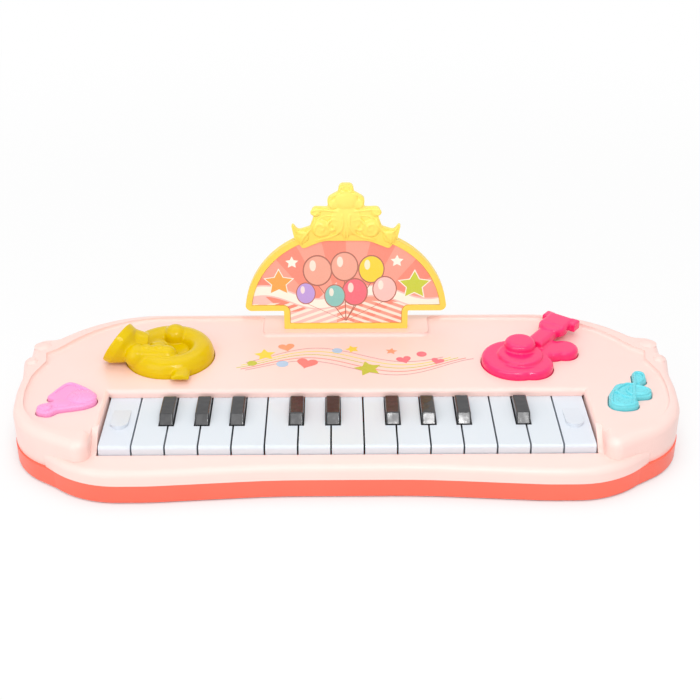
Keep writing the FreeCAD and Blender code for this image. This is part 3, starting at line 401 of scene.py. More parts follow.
@dataclass(frozen=True)
class Metal(Speckled):
    """Plated steel, finely speckled."""

    roughness: float = 0.34
    scale: float = 1600.0
    detail: Detail = Detail.SMOOTH
    metallic: float = 1.0
    speck_gloss: float = 0.2
    speck_bump: float = 0.1
    speck_depth: float = 0.1 * MM


@dataclass(frozen=True)
class Fibre(Speckled):
    """Felt or pressed paper: a deep matt tangle."""

    roughness: float = 0.9
    scale: float = 2200.0
    detail: Detail = Detail.TANGLED
    metallic: float = 0.0
    speck_gloss: float = 0.1
    speck_bump: float = 0.6
    speck_depth: float = 0.4 * MM


@dataclass(frozen=True)
class CircuitBoard(Finish):
    """Resin board with rows of copper pads under green lacquer."""

    tone: Hue = Hue.BOARD
    shade: Hue = Hue.BOARD_SHADE
    pad_pitch: float = 3.0 * MM
    pad_edge: float = 0.35
    roughness: float = 0.45
    pad_gloss: float = 0.12
    pad_bump: float = 0.2
    pad_depth: float = 0.1 * MM

    def sockets(self, tree: Tree) -> Sockets:
        """Feed the main shader.

        Args:
            tree: Where the nodes go.

        Returns:
            The shader's inputs.
        """
        across, along, _ = tree.axes(tree.place())
        wave = math.tau / self.pad_pitch
        pads = (across * wave).sin() * (along * (wave / 2)).sin() > self.pad_edge
        return {
            "Base Color": tree.mix(pads, self.tone.rgba, self.shade.rgba),
            "Roughness": self.roughness - pads * self.pad_gloss,
            "Normal": tree.bump(pads, self.pad_bump, self.pad_depth),
        }


@dataclass(frozen=True)
class Ink(Finish):
    """Print on plastic: a slightly uneven film of one colour."""

    tone: Hue
    strength: float = 0.92
    film_scale: float = 420.0
    roughness: float = 0.3
    film_gloss: float = 0.1

    def sockets(self, tree: Tree) -> Sockets:
        """Feed the main shader.

        Args:
            tree: Where the nodes go.

        Returns:
            The shader's inputs.
        """
        film = tree.noise(tree.place(), self.film_scale, Detail.CLOUDY)
        worn = film * (2 * (1 - self.strength))
        return {
            "Base Color": tree.mix(worn, self.tone.rgba, Hue.DECK.rgba),
            "Roughness": film * self.film_gloss + self.roughness,
        }


@dataclass(frozen=True)
class Balloon:
    """One balloon of the card's picture, in millimetres over the sign block."""

    tone: Hue
    across: float
    height: float
    wide: float
    tall: float


@dataclass(frozen=True)
class CardStar:
    """One star of the card's picture, in millimetres over the sign block."""

    tone: Hue
    across: float
    height: float
    size: float


@dataclass(frozen=True)
class Wave:
    """A waving line of the card's picture, in millimetres, with its turn in radians to the millimetre."""

    turn: float
    start: float
    swing: float
    level: float

    def at(self, across: Value) -> Value:
        """The line's height at a place across the card."""
        return (across * self.turn + self.start).sin() * self.swing + self.level


@dataclass
class Sheet:
    """A picture being printed: a place on it in millimetres, and the colour laid there so far."""

    tree: Tree
    across: Value
    height: Value
    colour: Term

    def lay(self, mask: Value, hue: Hue) -> None:
        """Print a colour where a mask is 1."""
        self.colour = self.tree.mix(mask, self.colour, hue.rgba)


@dataclass(frozen=True)
class CardPrint(Finish):
    """The sign card's picture: rays, a hill, stripes, a ribbon, balloons on strings and stars."""

    block_z: float = 35.7
    ray_turn: float = 14.0
    ray_foot: float = -6.0
    hill: Wave = Wave(0.075, 1.1, 14.0, 27.0)
    hill_end: float = -6.0
    stripe_lean: float = 0.62
    stripe_climb: float = 1.6
    stripe_turn: float = 0.85
    stripe_edge: float = 0.1
    stripe_top: float = 22.0
    stripe_droop: float = 0.05
    stripe_cover: float = 0.85
    ribbon: Wave = Wave(0.085, 0.0, 5.0, 24.0)
    ribbon_half: float = 4.4
    ribbon_core: float = 3.3
    tie_height: float = 6.0
    string_half: float = 0.35
    balloon_rim: float = 1.22
    glint_middle: Point = (-0.35, 0.35)
    glint_shrink: Point = (4.2, 2.6)
    glint_cover: float = 0.75
    star_rim: float = 1.14
    paper_scale: float = 1500.0
    paper_cover: float = 0.12
    paper_gloss: float = 0.1
    paper_bump: float = 0.08
    paper_depth: float = 0.1 * MM
    roughness: float = 0.32
    balloons: tuple[Balloon, ...] = (
        Balloon(Hue.SALMON, -19.0, 44.0, 9.0, 10.5),
        Balloon(Hue.ROSE, 6.0, 28.0, 8.0, 9.5),
        Balloon(Hue.TEAL, -7.5, 25.0, 6.5, 8.0),
        Balloon(Hue.LEMON, 17.0, 45.0, 8.0, 9.5),
        Balloon(Hue.SALMON, -1.0, 47.0, 8.5, 10.0),
        Balloon(Hue.BLUSH, 26.0, 30.0, 7.5, 9.0),
        Balloon(Hue.LILAC, -27.0, 27.0, 6.0, 7.5),
    )
    stars: tuple[CardStar, ...] = (
        CardStar(Hue.ORANGE, -45.0, 35.0, 9.5),
        CardStar(Hue.LIME, 46.0, 33.0, 10.5),
        CardStar(Hue.CREAM, -36.0, 50.0, 4.0),
        CardStar(Hue.CREAM, 34.0, 51.0, 4.0),
    )

    def sockets(self, tree: Tree) -> Sockets:
        """Print the picture and feed the main shader.

        Args:
            tree: Where the nodes go.

        Returns:
            The shader's inputs.
        """
        place = tree.place()
        across, _, up = tree.axes(place)
        sheet = Sheet(tree, across / MM, up / MM - self.block_z, Hue.CARD.rgba)
        self._ground(sheet)
        self._ribbon(sheet)
        for balloon in self.balloons:
            self._string(sheet, balloon)
        for balloon in self.balloons:
            self._balloon(sheet, balloon)
        for star in self.stars:
            self._star(sheet, star)
        paper = tree.noise(place, self.paper_scale, Detail.CLOUDY)
        return {
            "Base Color": tree.mix(paper * self.paper_cover, sheet.colour, Hue.CREAM.rgba),
            "Roughness": paper * self.paper_gloss + self.roughness,
            "Normal": tree.bump(paper, self.paper_bump, self.paper_depth),
        }

    def _ground(self, sheet: Sheet) -> None:
        """Coral rays from the foot, a blush hill on the left and slanting stripes low down.

        Args:
            sheet: The picture.
        """
        angle = sheet.tree.math("ARCTAN2", sheet.across, sheet.height - self.ray_foot)
        sheet.lay((angle * self.ray_turn).sin() > 0, Hue.CARD_RAY)
        sheet.lay((sheet.height < self.hill.at(sheet.across)) * (sheet.across < self.hill_end), Hue.BLUSH)
        lean = abs(sheet.across) * self.stripe_lean + sheet.height * self.stripe_climb
        stripes = (lean * self.stripe_turn).sin() > self.stripe_edge
        low = sheet.height < self.stripe_top - abs(sheet.across) * self.stripe_droop
        sheet.lay(stripes * low * self.stripe_cover, Hue.CREAM)

    def _ribbon(self, sheet: Sheet) -> None:
        """A cream ribbon with blush edges that waves across the card.

        Args:
            sheet: The picture.
        """
        away = abs(sheet.height - self.ribbon.at(sheet.across))
        sheet.lay(away < self.ribbon_half, Hue.BLUSH)
        sheet.lay(away < self.ribbon_core, Hue.CREAM)

    def _string(self, sheet: Sheet, balloon: Balloon) -> None:
        """A string, down to where all of them are tied.

        Args:
            sheet: The picture.
            balloon: The balloon at its top.
        """
        run = balloon.height - balloon.tall - self.tie_height
        share = (sheet.height - self.tie_height) / run
        string = abs(sheet.across - share * balloon.across) < self.string_half
        sheet.lay(string * (share > 0) * (share < 1), Hue.OUTLINE)

    def _balloon(self, sheet: Sheet, balloon: Balloon) -> None:
        """One balloon with its outline and highlight.

        Args:
            sheet: The picture.
            balloon: The balloon.
        """
        side = (sheet.across - balloon.across) / balloon.wide
        rise = (sheet.height - balloon.height) / balloon.tall
        reach = squares(side, rise)
        sheet.lay(reach < self.balloon_rim, Hue.OUTLINE)
        sheet.lay(reach < 1, balloon.tone)
        glint_side = (side - self.glint_middle[0]) * self.glint_shrink[0]
        glint_rise = (rise - self.glint_middle[1]) * self.glint_shrink[1]
        sheet.lay((squares(glint_side, glint_rise) < 1) * self.glint_cover, Hue.CREAM)

    def _star(self, sheet: Sheet, star: CardStar) -> None:
        """One star with a pale edge.

        Args:
            sheet: The picture.
            star: The star.
        """
        side = sheet.across - star.across
        rise = sheet.height - star.height
        radius = squares(side, rise).root()
        half_tip = math.pi / STAR_TIPS
        fold = sheet.tree.math("PINGPONG", sheet.tree.math("ARCTAN2", side, rise), half_tip)
        waist = STAR_WAIST * math.sin(half_tip)
        edge = waist / (fold.sin() + (half_tip - fold).sin() * STAR_WAIST)
        sheet.lay(radius < edge * (star.size * self.star_rim), Hue.CREAM)
        sheet.lay(radius < edge * star.size, star.tone)


FINISHES: dict[str, Finish] = {
    "deck_plastic": MouldedPlastic(Hue.DECK, Hue.DECK_SHADE, 0.34),
    "base_plastic": MouldedPlastic(Hue.CORAL, Hue.CORAL_SHADE, 0.36),
    "foot_rubber": MouldedPlastic(Hue.RUBBER, Hue.RUBBER_SHADE, 0.8, 0.3),
    "screw_steel": Metal(Hue.STEEL, Hue.STEEL_SHADE),
    "sign_plastic": MouldedPlastic(Hue.SIGN, Hue.SIGN_SHADE, 0.32, high_tone=Hue.CREST),
    "sign_print": CardPrint(),
    "end_key_plastic": MouldedPlastic(Hue.END_KEY, Hue.END_KEY_SHADE, 0.24, 0.02),
    "white_key_plastic": MouldedPlastic(Hue.KEY, Hue.KEY_SHADE, 0.22, 0.02, 0.15),
    "black_key_plastic": MouldedPlastic(Hue.BLACK, Hue.BLACK_SHADE, 0.2, 0.03, 0.15, ripple=170.0),
    "felt": Fibre(Hue.FELT, Hue.FELT_SHADE),
    "pale_felt": Fibre(Hue.DECK, Hue.DECK_SHADE),
    "board": CircuitBoard(),
    "dome_rubber": MouldedPlastic(Hue.SILICONE, Hue.SILICONE_SHADE, 0.6, 0.1),
    "chip_resin": MouldedPlastic(Hue.RESIN, Hue.RESIN_SHADE, 0.5, 0.2),
    "horn_plastic": MouldedPlastic(Hue.HORN, Hue.HORN_SHADE, 0.16, 0.02, specular=0.2),
    "guitar_plastic": MouldedPlastic(Hue.GUITAR, Hue.GUITAR_SHADE, 0.17, 0.02, 0.25, 0.4),
    "note_plastic": MouldedPlastic(Hue.NOTE, Hue.NOTE_SHADE, 0.28, 0.03),
    "clef_plastic": MouldedPlastic(Hue.CLEF, Hue.CLEF_SHADE, 0.28, 0.03),
    "speaker_steel": MouldedPlastic(Hue.RESIN, Hue.RESIN_SHADE, 0.45, 0.1),
    "magnet": Metal(Hue.STEEL_SHADE, Hue.RUBBER_SHADE, 0.5),
    "cone_paper": Fibre(Hue.RESIN, Hue.RUBBER_SHADE, scale=1200.0),
    "cell_jacket": MouldedPlastic(Hue.CELL, Hue.CELL_SHADE, 0.3),
    "contact_steel": Metal(Hue.STEEL, Hue.STEEL_SHADE, 0.28),
    "door_plastic": MouldedPlastic(Hue.CORAL, Hue.CORAL_SHADE, 0.38),
    "switch_plastic": MouldedPlastic(Hue.RESIN, Hue.RESIN_SHADE, 0.45, 0.1),
    "lead_jacket": MouldedPlastic(Hue.JACKET, Hue.JACKET_SHADE, 0.5, 0.1),
}


@dataclass
class Wardrobe:
    """The finishes as materials, each made once."""

    made: dict[str, bpy.types.Material] = field(default_factory=dict)

    def slot(self, slot: str) -> bpy.types.Material:
        """The material of one of the named finishes."""
        return self._keep(slot, FINISHES[slot])

    def ink(self, hue: Hue) -> bpy.types.Material:
        """The printing ink of one colour."""
        return self._keep(f"ink_{hue.name.lower()}", Ink(hue))

    def _keep(self, name: str, finish: Finish) -> bpy.types.Material:
        """Make a material the first time it is asked for.

        Args:
            name: The material's name.
            finish: What it is made of.

        Returns:
            The material.
        """
        if name not in self.made:
            self.made[name] = finish.material(name)
        return self.made[name]


def melt(item: bpy.types.Object, grid: float, passes: int, pull: float = 0.5) -> None:
    """Run the forms of an object softly into each other, as a mould does.

    Args:
        item: The object.
        grid: Size of the even grid that it is remade on.
        passes: How often that grid is smoothed.
        pull: How far each pass draws a point to its neighbours, as a share.
    """
    even = item.modifiers.new("even_grid", "REMESH")
    even.mode = "VOXEL"
    even.voxel_size = grid
    even.use_smooth_shade = True
    soft = item.modifiers.new("soft_joins", "SMOOTH")
    soft.factor = pull
    soft.iterations = passes


def finished(name: str, mesh: bmesh.types.BMesh,
             materials: Sequence[bpy.types.Material]) -> bpy.types.Object:
    """Turn a mesh being made into an object of the scene.

    Args:
        name: The object's name.
        mesh: The mesh, which is used up.
        materials: The object's materials in order.

    Returns:
        The object.
    """
    data = bpy.data.meshes.new(name)
    mesh.to_mesh(data)
    mesh.free()
    for material in materials:
        data.materials.append(material)
    item = bpy.data.objects.new(name, data)
    bpy.context.scene.collection.objects.link(item)
    return item


@dataclass
class Case:
    """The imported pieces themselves, dressed slot by slot."""

    wardrobe: Wardrobe
    key_bevel: float = 0.45 * MM
    sign_bevel: float = 0.7 * MM
    bevel_angle: float = 50.0
    bevel_steps: int = 2
    melt_grid: float = 0.45 * MM
    melted: tuple[tuple[str, int], ...] = (
        ("horn_button", 24), ("guitar_button", 12), ("note_button", 14), ("clef_button", 14),
    )
    pale_nodes: tuple[str, ...] = ("key_rest_felt",)

    def dress(self) -> None:
        """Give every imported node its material, soften keys and sign frame, and melt the buttons' forms."""
        for part in frame["record"]["subparts"]:
            name = part["node"]
            node = frame["nodes"][name]
            slot = "pale_felt" if name in self.pale_nodes else part["material_slot"]
            node.data.materials.clear()
            node.data.materials.append(self.wardrobe.slot(slot))
            if self._is_key(name):
                self._soften(node, self.key_bevel)
            LOG.info("dressed %s in %s", name, slot)
        self._soften(frame["nodes"]["sign_frame"], self.sign_bevel)
        for name, passes in self.melted:
            melt(frame["nodes"][name], self.melt_grid, passes)

    @staticmethod
    def _is_key(name: str) -> bool:
        """Whether a node is a key, and not a piece that serves the keys."""
        return "_key" in name and not name.startswith("key_")

    def _soften(self, node: bpy.types.Object, width: float) -> None:
        """Round the sharp edges of a node a little.

        Args:
            node: The node.
            width: How wide the rounding is.
        """
        bevel = node.modifiers.new("softened_edge", "BEVEL")
        bevel.width = width
        bevel.segments = self.bevel_steps
        bevel.limit_method = "ANGLE"
        bevel.angle_limit = math.radians(self.bevel_angle)


@dataclass
class Plate:
    """A flat mesh drawn from closed outlines and raised to a small thickness."""

    name: str
    thickness: float
    mesh: bmesh.types.BMesh = field(default_factory=bmesh.new)

    def add(self, outline: Sequence[Point], level: float, ink: int) -> None:
        """Add one closed outline.

        Args:
            outline: Its points in the plane, in metres.
            level: Height of its foot.
            ink: Number of its material.
        """
        foot = [self.mesh.verts.new((x, y, level)) for x, y in outline]
        head = [self.mesh.verts.new((x, y, level + self.thickness)) for x, y in outline]
        faces = [self.mesh.faces.new(head), self.mesh.faces.new(foot[::-1])]
        for index in range(len(outline)):
            after = (index + 1) % len(outline)
            faces.append(self.mesh.faces.new((foot[index], foot[after], head[after], head[index])))
        for face in faces:
            face.material_index = ink

    def object(self, inks: Sequence[bpy.types.Material]) -> bpy.types.Object:
        """Finish the mesh as an object with its inks."""
        bmesh.ops.recalc_face_normals(self.mesh, faces=self.mesh.faces[:])
        return finished(self.name, self.mesh, inks)


class Motif(Enum):
    """Small shapes printed on the deck."""

    STAR = "star"
    HEART = "heart"
    DOT = "dot"

    def outline(self, size: float) -> list[Point]:
        """Draw the shape about its middle; the heart is the usual curve of four cosines.

        Args:
            size: How far it reaches from there.

        Returns:
            The points of its closed outline.
        """
        steps = 2 * STAR_TIPS if self is Motif.STAR else ROUND_STEPS
        turns = [math.tau * step / steps for step in range(steps)]
        if self is Motif.STAR:
            sizes = [size, size * STAR_WAIST] * STAR_TIPS
            return [(radius * math.sin(t), radius * math.cos(t)) for t, radius in zip(turns, sizes)]
        if self is Motif.HEART:
            heights = [13 * math.cos(t) - 5 * math.cos(2 * t) - 2 * math.cos(3 * t) - math.cos(4 * t)
                       for t in turns]
            return [(size * math.sin(t) ** 3, size / 16 * height) for t, height in zip(turns, heights)]
        return [(size * math.sin(t), size * math.cos(t)) for t in turns]


@dataclass(frozen=True)
class Stamp:
    """One printed motif, in millimetres on the deck, with its turn in degrees."""

    motif: Motif
    hue: Hue
    x: float
    y: float
    size: float
    turn: float = 0.0


@dataclass
class DeckPrint:
    """Waving lines with stars, hearts and dots, printed on the deck behind the keys, in millimetres."""

    wardrobe: Wardrobe
    deck_z: float = 33.1
    film: float = 0.06
    start_x: float = -72.0
    end_x: float = 84.0
    start_stagger: float = 3.0
    end_stagger: float = 5.0
    middle_y: float = 24.0
    wave: float = 9.0
    wave_start: float = 6.0
    wave_length: float = 118.0
    least_gap: float = 2.4
    gap_swell: float = 2.6
    line_width: float = 0.75
    line_steps: int = 64
    line_hues: tuple[Hue, ...] = (Hue.MAUVE, Hue.SOFT_RED, Hue.OLIVE, Hue.LEMON, Hue.MAUVE)
    stamps: tuple[Stamp, ...] = (
        Stamp(Motif.STAR, Hue.OLIVE, 14.0, 14.5, 9.5, 12.0),
        Stamp(Motif.HEART, Hue.SOFT_RED, -26.0, 22.0, 7.0, -14.0),
        Stamp(Motif.STAR, Hue.LEMON, -54.0, 33.0, 7.5, 8.0),
        Stamp(Motif.DOT, Hue.SKY, -42.0, 21.0, 4.0),
        Stamp(Motif.HEART, Hue.APRICOT, -40.0, 43.0, 5.5, 10.0),
        Stamp(Motif.DOT, Hue.OLIVE, -62.0, 22.0, 3.2),
        Stamp(Motif.DOT, Hue.SKY, -6.0, 38.0, 3.4),
        Stamp(Motif.STAR, Hue.LEMON, 4.0, 40.0, 4.8, 20.0),
        Stamp(Motif.HEART, Hue.ROSE, 38.0, 26.0, 5.0, 16.0),
        Stamp(Motif.DOT, Hue.ROSE, 50.0, 33.0, 3.4),
        Stamp(Motif.STAR, Hue.APRICOT, 30.0, 37.0, 4.2, -10.0),
        Stamp(Motif.HEART, Hue.ROSE, 60.0, 24.0, 4.4, -18.0),
    )

    def build(self) -> list[bpy.types.Object]:
        """Print the lines and the motifs."""
        return [self._lines(), self._motifs()]

    def _from_middle(self, row: int) -> int:
        """How many rows a line lies behind the middle one."""
        return row - len(self.line_hues) // 2

    def _line_y(self, x: float, row: int) -> float:
        """Follow a line.

        Args:
            x: A place across the deck.
            row: The line's number.

        Returns:
            Where the line runs there.
        """
        swing = self.wave * math.sin(math.tau * (x - self.wave_start) / self.wave_length)
        share = (x - self.start_x) / (self.end_x - self.start_x)
        gap = self.least_gap + self.gap_swell * math.sin(math.pi * share) ** 2
        return self.middle_y - swing + self._from_middle(row) * gap

    def _lines(self) -> bpy.types.Object:
        """Print the waving lines as flat ribbons.

        Returns:
            The lines as one object.
        """
        plate = Plate("deck_print_lines", self.film * MM)
        half = self.line_width / 2
        for row in range(len(self.line_hues)):
            first = self.start_x + self.start_stagger * abs(self._from_middle(row))
            last = self.end_x - self.end_stagger * row
            xs = [first + (last - first) * step / self.line_steps for step in range(self.line_steps + 1)]
            upper = [(x * MM, (self._line_y(x, row) + half) * MM) for x in xs]
            lower = [(x * MM, (self._line_y(x, row) - half) * MM) for x in xs]
            plate.add(lower + upper[::-1], self.deck_z * MM, row)
        return self._finish(plate, self.line_hues)

    def _motifs(self) -> bpy.types.Object:
        """Print the stars, hearts and dots over the lines.

        Returns:
            The motifs as one object.
        """
        plate = Plate("deck_print_motifs", self.film * MM)
        hues = sorted({stamp.hue for stamp in self.stamps}, key=lambda hue: hue.name)
        for stamp in self.stamps:
            turn = Matrix.Rotation(math.radians(stamp.turn), 2)
            points = [turn @ Vector(point) for point in stamp.motif.outline(stamp.size)]
            outline = [((stamp.x + point.x) * MM, (stamp.y + point.y) * MM) for point in points]
            plate.add(outline, (self.deck_z + self.film) * MM, hues.index(stamp.hue))
        return self._finish(plate, hues)

    def _finish(self, plate: Plate, hues: Sequence[Hue]) -> bpy.types.Object:
        """Ink a print and let it ride on the case.

        Args:
            plate: The print.
            hues: The colours of its inks in order.

        Returns:
            The print as an object.
        """
        item = plate.object([self.wardrobe.ink(hue) for hue in hues])
        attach(item, "case")
        return item


@dataclass(frozen=True)
class Swell:
    """A dome of a relief, in millimetres on the face that it stands on."""

    x: float
    y: float
    wide: float
    tall: float
    rise: float


@dataclass(frozen=True)
class Stroke:
    """A rounded line of a relief: its half width and its points, in millimetres on the face."""

    size: float
    points: tuple[Point, ...]


@dataclass
class Carving:
    """Rounded forms gathered in one mesh and melted into a relief that stands outward."""

    name: str
    outward: Vector
    mesh: bmesh.types.BMesh = field(default_factory=bmesh.new)
    ring_steps: int = 10
    line_steps: int = 6
    end_share: float = 0.5
    dome_steps: tuple[int, int] = (28, 14)

    def tube(self, points: Sequence[Vector], sizes: Sequence[float]) -> None:
        """Add a closed tube.

        Args:
            points: Its middle line.
            sizes: Its radius at each point.
        """
        turns = [math.tau * step / self.ring_steps for step in range(self.ring_steps)]
        rings = []
        for index, (point, size) in enumerate(zip(points, sizes)):
            along = points[min(index + 1, len(points) - 1)] - points[max(index - 1, 0)]
            side = along.cross(self.outward).normalized()
            ring = [point + (side * math.cos(t) + self.outward * math.sin(t)) * size for t in turns]
            rings.append([self.mesh.verts.new(corner) for corner in ring])
        for here, there in zip(rings, rings[1:]):
            for step in range(self.ring_steps):
                after = (step + 1) % self.ring_steps
                self.mesh.faces.new((here[step], here[after], there[after], there[step]))
        self.mesh.faces.new(rings[0][::-1])
        self.mesh.faces.new(rings[-1])

    def stroke(self, points: Sequence[Vector], size: float) -> None:
        """Add a tube along a smooth line, thinner at both ends.

        Args:
            points: Points that the line passes through.
            size: The tube's radius at its middle.
        """
        line = self._smoothed(points)
        last = len(line) - 1
        fullness = [math.sqrt(abs(math.sin(math.pi * step / last))) for step in range(last + 1)]
        self.tube(line, [size * (self.end_share + (1 - self.end_share) * full) for full in fullness])

    def dome(self, middle: Vector, half: Vector) -> None:
        """Add a ball stretched to three half sizes."""
        place = Matrix.Translation(middle) @ Matrix.Diagonal((*half, 1.0))
        bmesh.ops.create_uvsphere(self.mesh, u_segments=self.dome_steps[0], v_segments=self.dome_steps[1],
                                  radius=1.0, matrix=place)

    def _smoothed(self, points: Sequence[Vector]) -> list[Vector]:
        """Draw a smooth line by the Catmull-Rom rule.

        Args:
            points: Points that it passes through.

        Returns:
            The line's points.
        """
        line = []
        for index in range(len(points) - 1):
            before = points[max(index - 1, 0)]
            start, end = points[index], points[index + 1]
            after = points[min(index + 2, len(points) - 1)]
            for step in range(self.line_steps):
                t = step / self.line_steps
                line.append(0.5 * (2 * start + (end - before) * t
                                   + (2 * before - 5 * start + 4 * end - after) * t * t
                                   + (3 * start - before - 3 * end + after) * t ** 3))
        return line + [points[-1]]

    def object(self, material: bpy.types.Material, grid: float, passes: int) -> bpy.types.Object:
        """Finish the mesh as one melted object.

        Args:
            material: Its material.
            grid: Size of the even grid that it is remade on.
            passes: How often that grid is smoothed.

        Returns:
            The object.
        """
        item = finished(self.name, self.mesh, [material])
        melt(item, grid, passes)
        return item


@dataclass
class CrestRelief:
    """Pillows, scrolls and leaf lines carved on the sign's crest.

    Places are in millimetres from the middle, heights over the sign block, and hold for both sides.
    """

    wardrobe: Wardrobe
    block_z: float = 35.7
    face_y: float = 62.8
    grid: float = 0.4
    passes: int = 5
    sink: float = 0.25
    pillows: tuple[Swell, ...] = (
        Swell(0.0, 95.4, 7.6, 6.6, 2.2),
        Swell(0.0, 81.0, 10.4, 11.0, 1.7),
        Swell(16.0, 75.5, 6.8, 6.8, 1.5),
        Swell(28.6, 69.6, 4.6, 4.6, 1.3),
        Swell(19.6, 87.0, 3.4, 3.2, 1.5),
        Swell(7.5, 93.0, 3.4, 3.4, 1.3),
    )
    strokes: tuple[Stroke, ...] = (
        Stroke(0.9, ((1.2, 104.8), (3.2, 104.2), (3.6, 102.2), (2.2, 101.4), (1.4, 102.6))),
        Stroke(1.0, ((4.6, 100.2), (8.0, 98.6), (10.4, 95.6), (10.0, 91.6), (7.4, 89.6))),
        Stroke(1.0, ((5.0, 87.8), (11.0, 88.0), (17.0, 88.8), (21.4, 88.6), (22.2, 86.6), (20.0, 85.6),
                     (18.8, 87.2))),
        Stroke(0.8, ((6.0, 84.8), (11.0, 84.6), (16.0, 83.4), (18.6, 81.4))),
        Stroke(1.2, ((2.8, 86.0), (2.0, 80.5), (3.4, 75.0), (7.6, 70.6), (14.0, 68.2), (20.6, 66.6))),
        Stroke(1.0, ((5.4, 81.6), (9.6, 81.8), (12.0, 78.4), (10.4, 74.6), (7.2, 75.4), (7.4, 78.0),
                     (9.2, 78.2))),
        Stroke(1.0, ((13.2, 71.6), (18.0, 71.0), (20.4, 74.6), (18.4, 78.6), (14.6, 77.8), (14.8, 74.8),
                     (17.0, 75.0))),
        Stroke(1.1, ((20.0, 82.6), (21.2, 78.6), (23.6, 74.6), (26.6, 71.2), (29.6, 66.6), (28.6, 63.6))),
        Stroke(0.9, ((24.6, 73.6), (28.8, 72.2), (32.2, 73.8), (34.4, 77.4))),
        Stroke(0.7, ((27.4, 67.6), (29.8, 68.4), (29.6, 70.8), (27.8, 70.6))),
        Stroke(0.8, ((0.9, 67.4), (1.0, 72.0), (0.7, 78.0))),
    )

    def build(self) -> list[bpy.types.Object]:
        """Carve both sides as one piece.

        Returns:
            The relief.
        """
        carving = Carving("crest_relief", Vector((0.0, -1.0, 0.0)))
        for side in (-1, 1):
            for pillow in self.pillows:
                half = Vector((pillow.wide, pillow.rise, pillow.tall)) * MM
                carving.dome(self._place(side * pillow.x, pillow.y, 0.0), half)
            for stroke in self.strokes:
                line = [self._place(side * x, z, self._rise(x, z) - self.sink) for x, z in stroke.points]
                carving.stroke(line, stroke.size * MM)
        item = carving.object(self.wardrobe.slot("sign_plastic"), self.grid * MM, self.passes)
        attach(item, "sign")
        return [item]

    def _place(self, x: float, z: float, rise: float) -> Vector:
        """A point of the crest, standing out from its face."""
        return Vector((x, self.face_y - rise, self.block_z + z)) * MM

    def _rise(self, x: float, z: float) -> float:
        """How far the highest pillow stands out at a place."""
        shares = [((x - item.x) / item.wide) ** 2 + ((z - item.y) / item.tall) ** 2 for item in self.pillows]
        return max(item.rise * math.sqrt(max(0.0, 1.0 - share)) for item, share in zip(self.pillows, shares))


@dataclass
class ButtonRelief:
    """Raised lines and swellings on the note and clef buttons, in millimetres on the deck."""

    wardrobe: Wardrobe
    top_z: float = 36.0
    grid: float = 0.35
    passes: int = 6
    clef_rise: float = 0.15
    clef_lines: tuple[Stroke, ...] = (
        Stroke(1.2, ((181.5, -11), (177.5, -11), (172, -15), (169.5, -19.5), (171.5, -23), (174.5, -26),
                     (178.5, -27.5))),
        Stroke(1.05, ((181, -15), (178.5, -15), (176.5, -18), (177, -21.5), (179, -23.5))),
        Stroke(1.25, ((167.5, -20), (165.5, -26.5), (164.5, -32.5), (167, -35.5), (171.5, -36.5),
                      (177, -35.5), (179.5, -33.5))),
        Stroke(1.2, ((182.5, -13), (188, -15.5), (190, -19.5), (187.5, -23), (183, -24), (180, -24))),
        Stroke(1.3, ((184, -6.5), (181.5, -15), (179.5, -26), (177.5, -35.5))),
        Stroke(1.05, ((184, -6.5), (184.5, -1), (186, 3), (190, 2), (190, -4), (186, -9), (183, -10))),
    )
    note_rise: float = -0.35
    note_line: Stroke = Stroke(1.5, ((-184.2, -19.6), (-181.0, -13.4), (-175.8, -7.6), (-168.0, -11.6),
                                     (-161.0, -17.4), (-157.4, -23.0)))
    note_swells: tuple[Swell, ...] = (
        Swell(-165.4, -23.4, 9.4, 7.6, 1.9),
        Swell(-186.5, -35.2, 4.8, 4.0, 1.5),
        Swell(-177.0, -30.6, 6.6, 4.4, 0.9),
    )

    def build(self) -> list[bpy.types.Object]:
        """Raise the relief of both buttons.

        Returns:
            The clef's relief and the note's.
        """
        upward = Vector((0.0, 0.0, 1.0))
        clef = Carving("clef_scroll", upward)
        for stroke in self.clef_lines:
            clef.stroke(self._line(stroke, self.clef_rise), stroke.size * MM)
        note = Carving("note_swell", upward)
        note.stroke(self._line(self.note_line, self.note_rise), self.note_line.size * MM)
        for swell in self.note_swells:
            half = Vector((swell.wide, swell.tall, swell.rise)) * MM
            note.dome(self._place((swell.x, swell.y), 0.0), half)
        return [
            self._finish(clef, "clef_button", "clef_plastic"),
            self._finish(note, "note_button", "note_plastic"),
        ]

    def _line(self, stroke: Stroke, rise: float) -> list[Vector]:
        """The points of a stroke over a button's top."""
        return [self._place(point, rise) for point in stroke.points]

    def _place(self, point: Point, rise: float) -> Vector:
        """A point over a button's top."""
        return Vector((point[0], point[1], self.top_z + rise)) * MM

    def _finish(self, carving: Carving, body: str, slot: str) -> bpy.types.Object:
        """Let a relief ride on its button.

        Args:
            carving: The relief.
            body: The button's body.
            slot: The button's slot.

        Returns:
            The relief as an object.
        """
        item = carving.object(self.wardrobe.slot(slot), self.grid * MM, self.passes)
        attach(item, body)
        return item


@dataclass(frozen=True)
class Lamp:
    """One area lamp, in watts and metres; by default one of the row of softboxes."""

    name: str
    power: float
    x: float
    y: float = -0.62
    z: float = 0.76
    wide: float = 0.18
    tall: float = 0.24


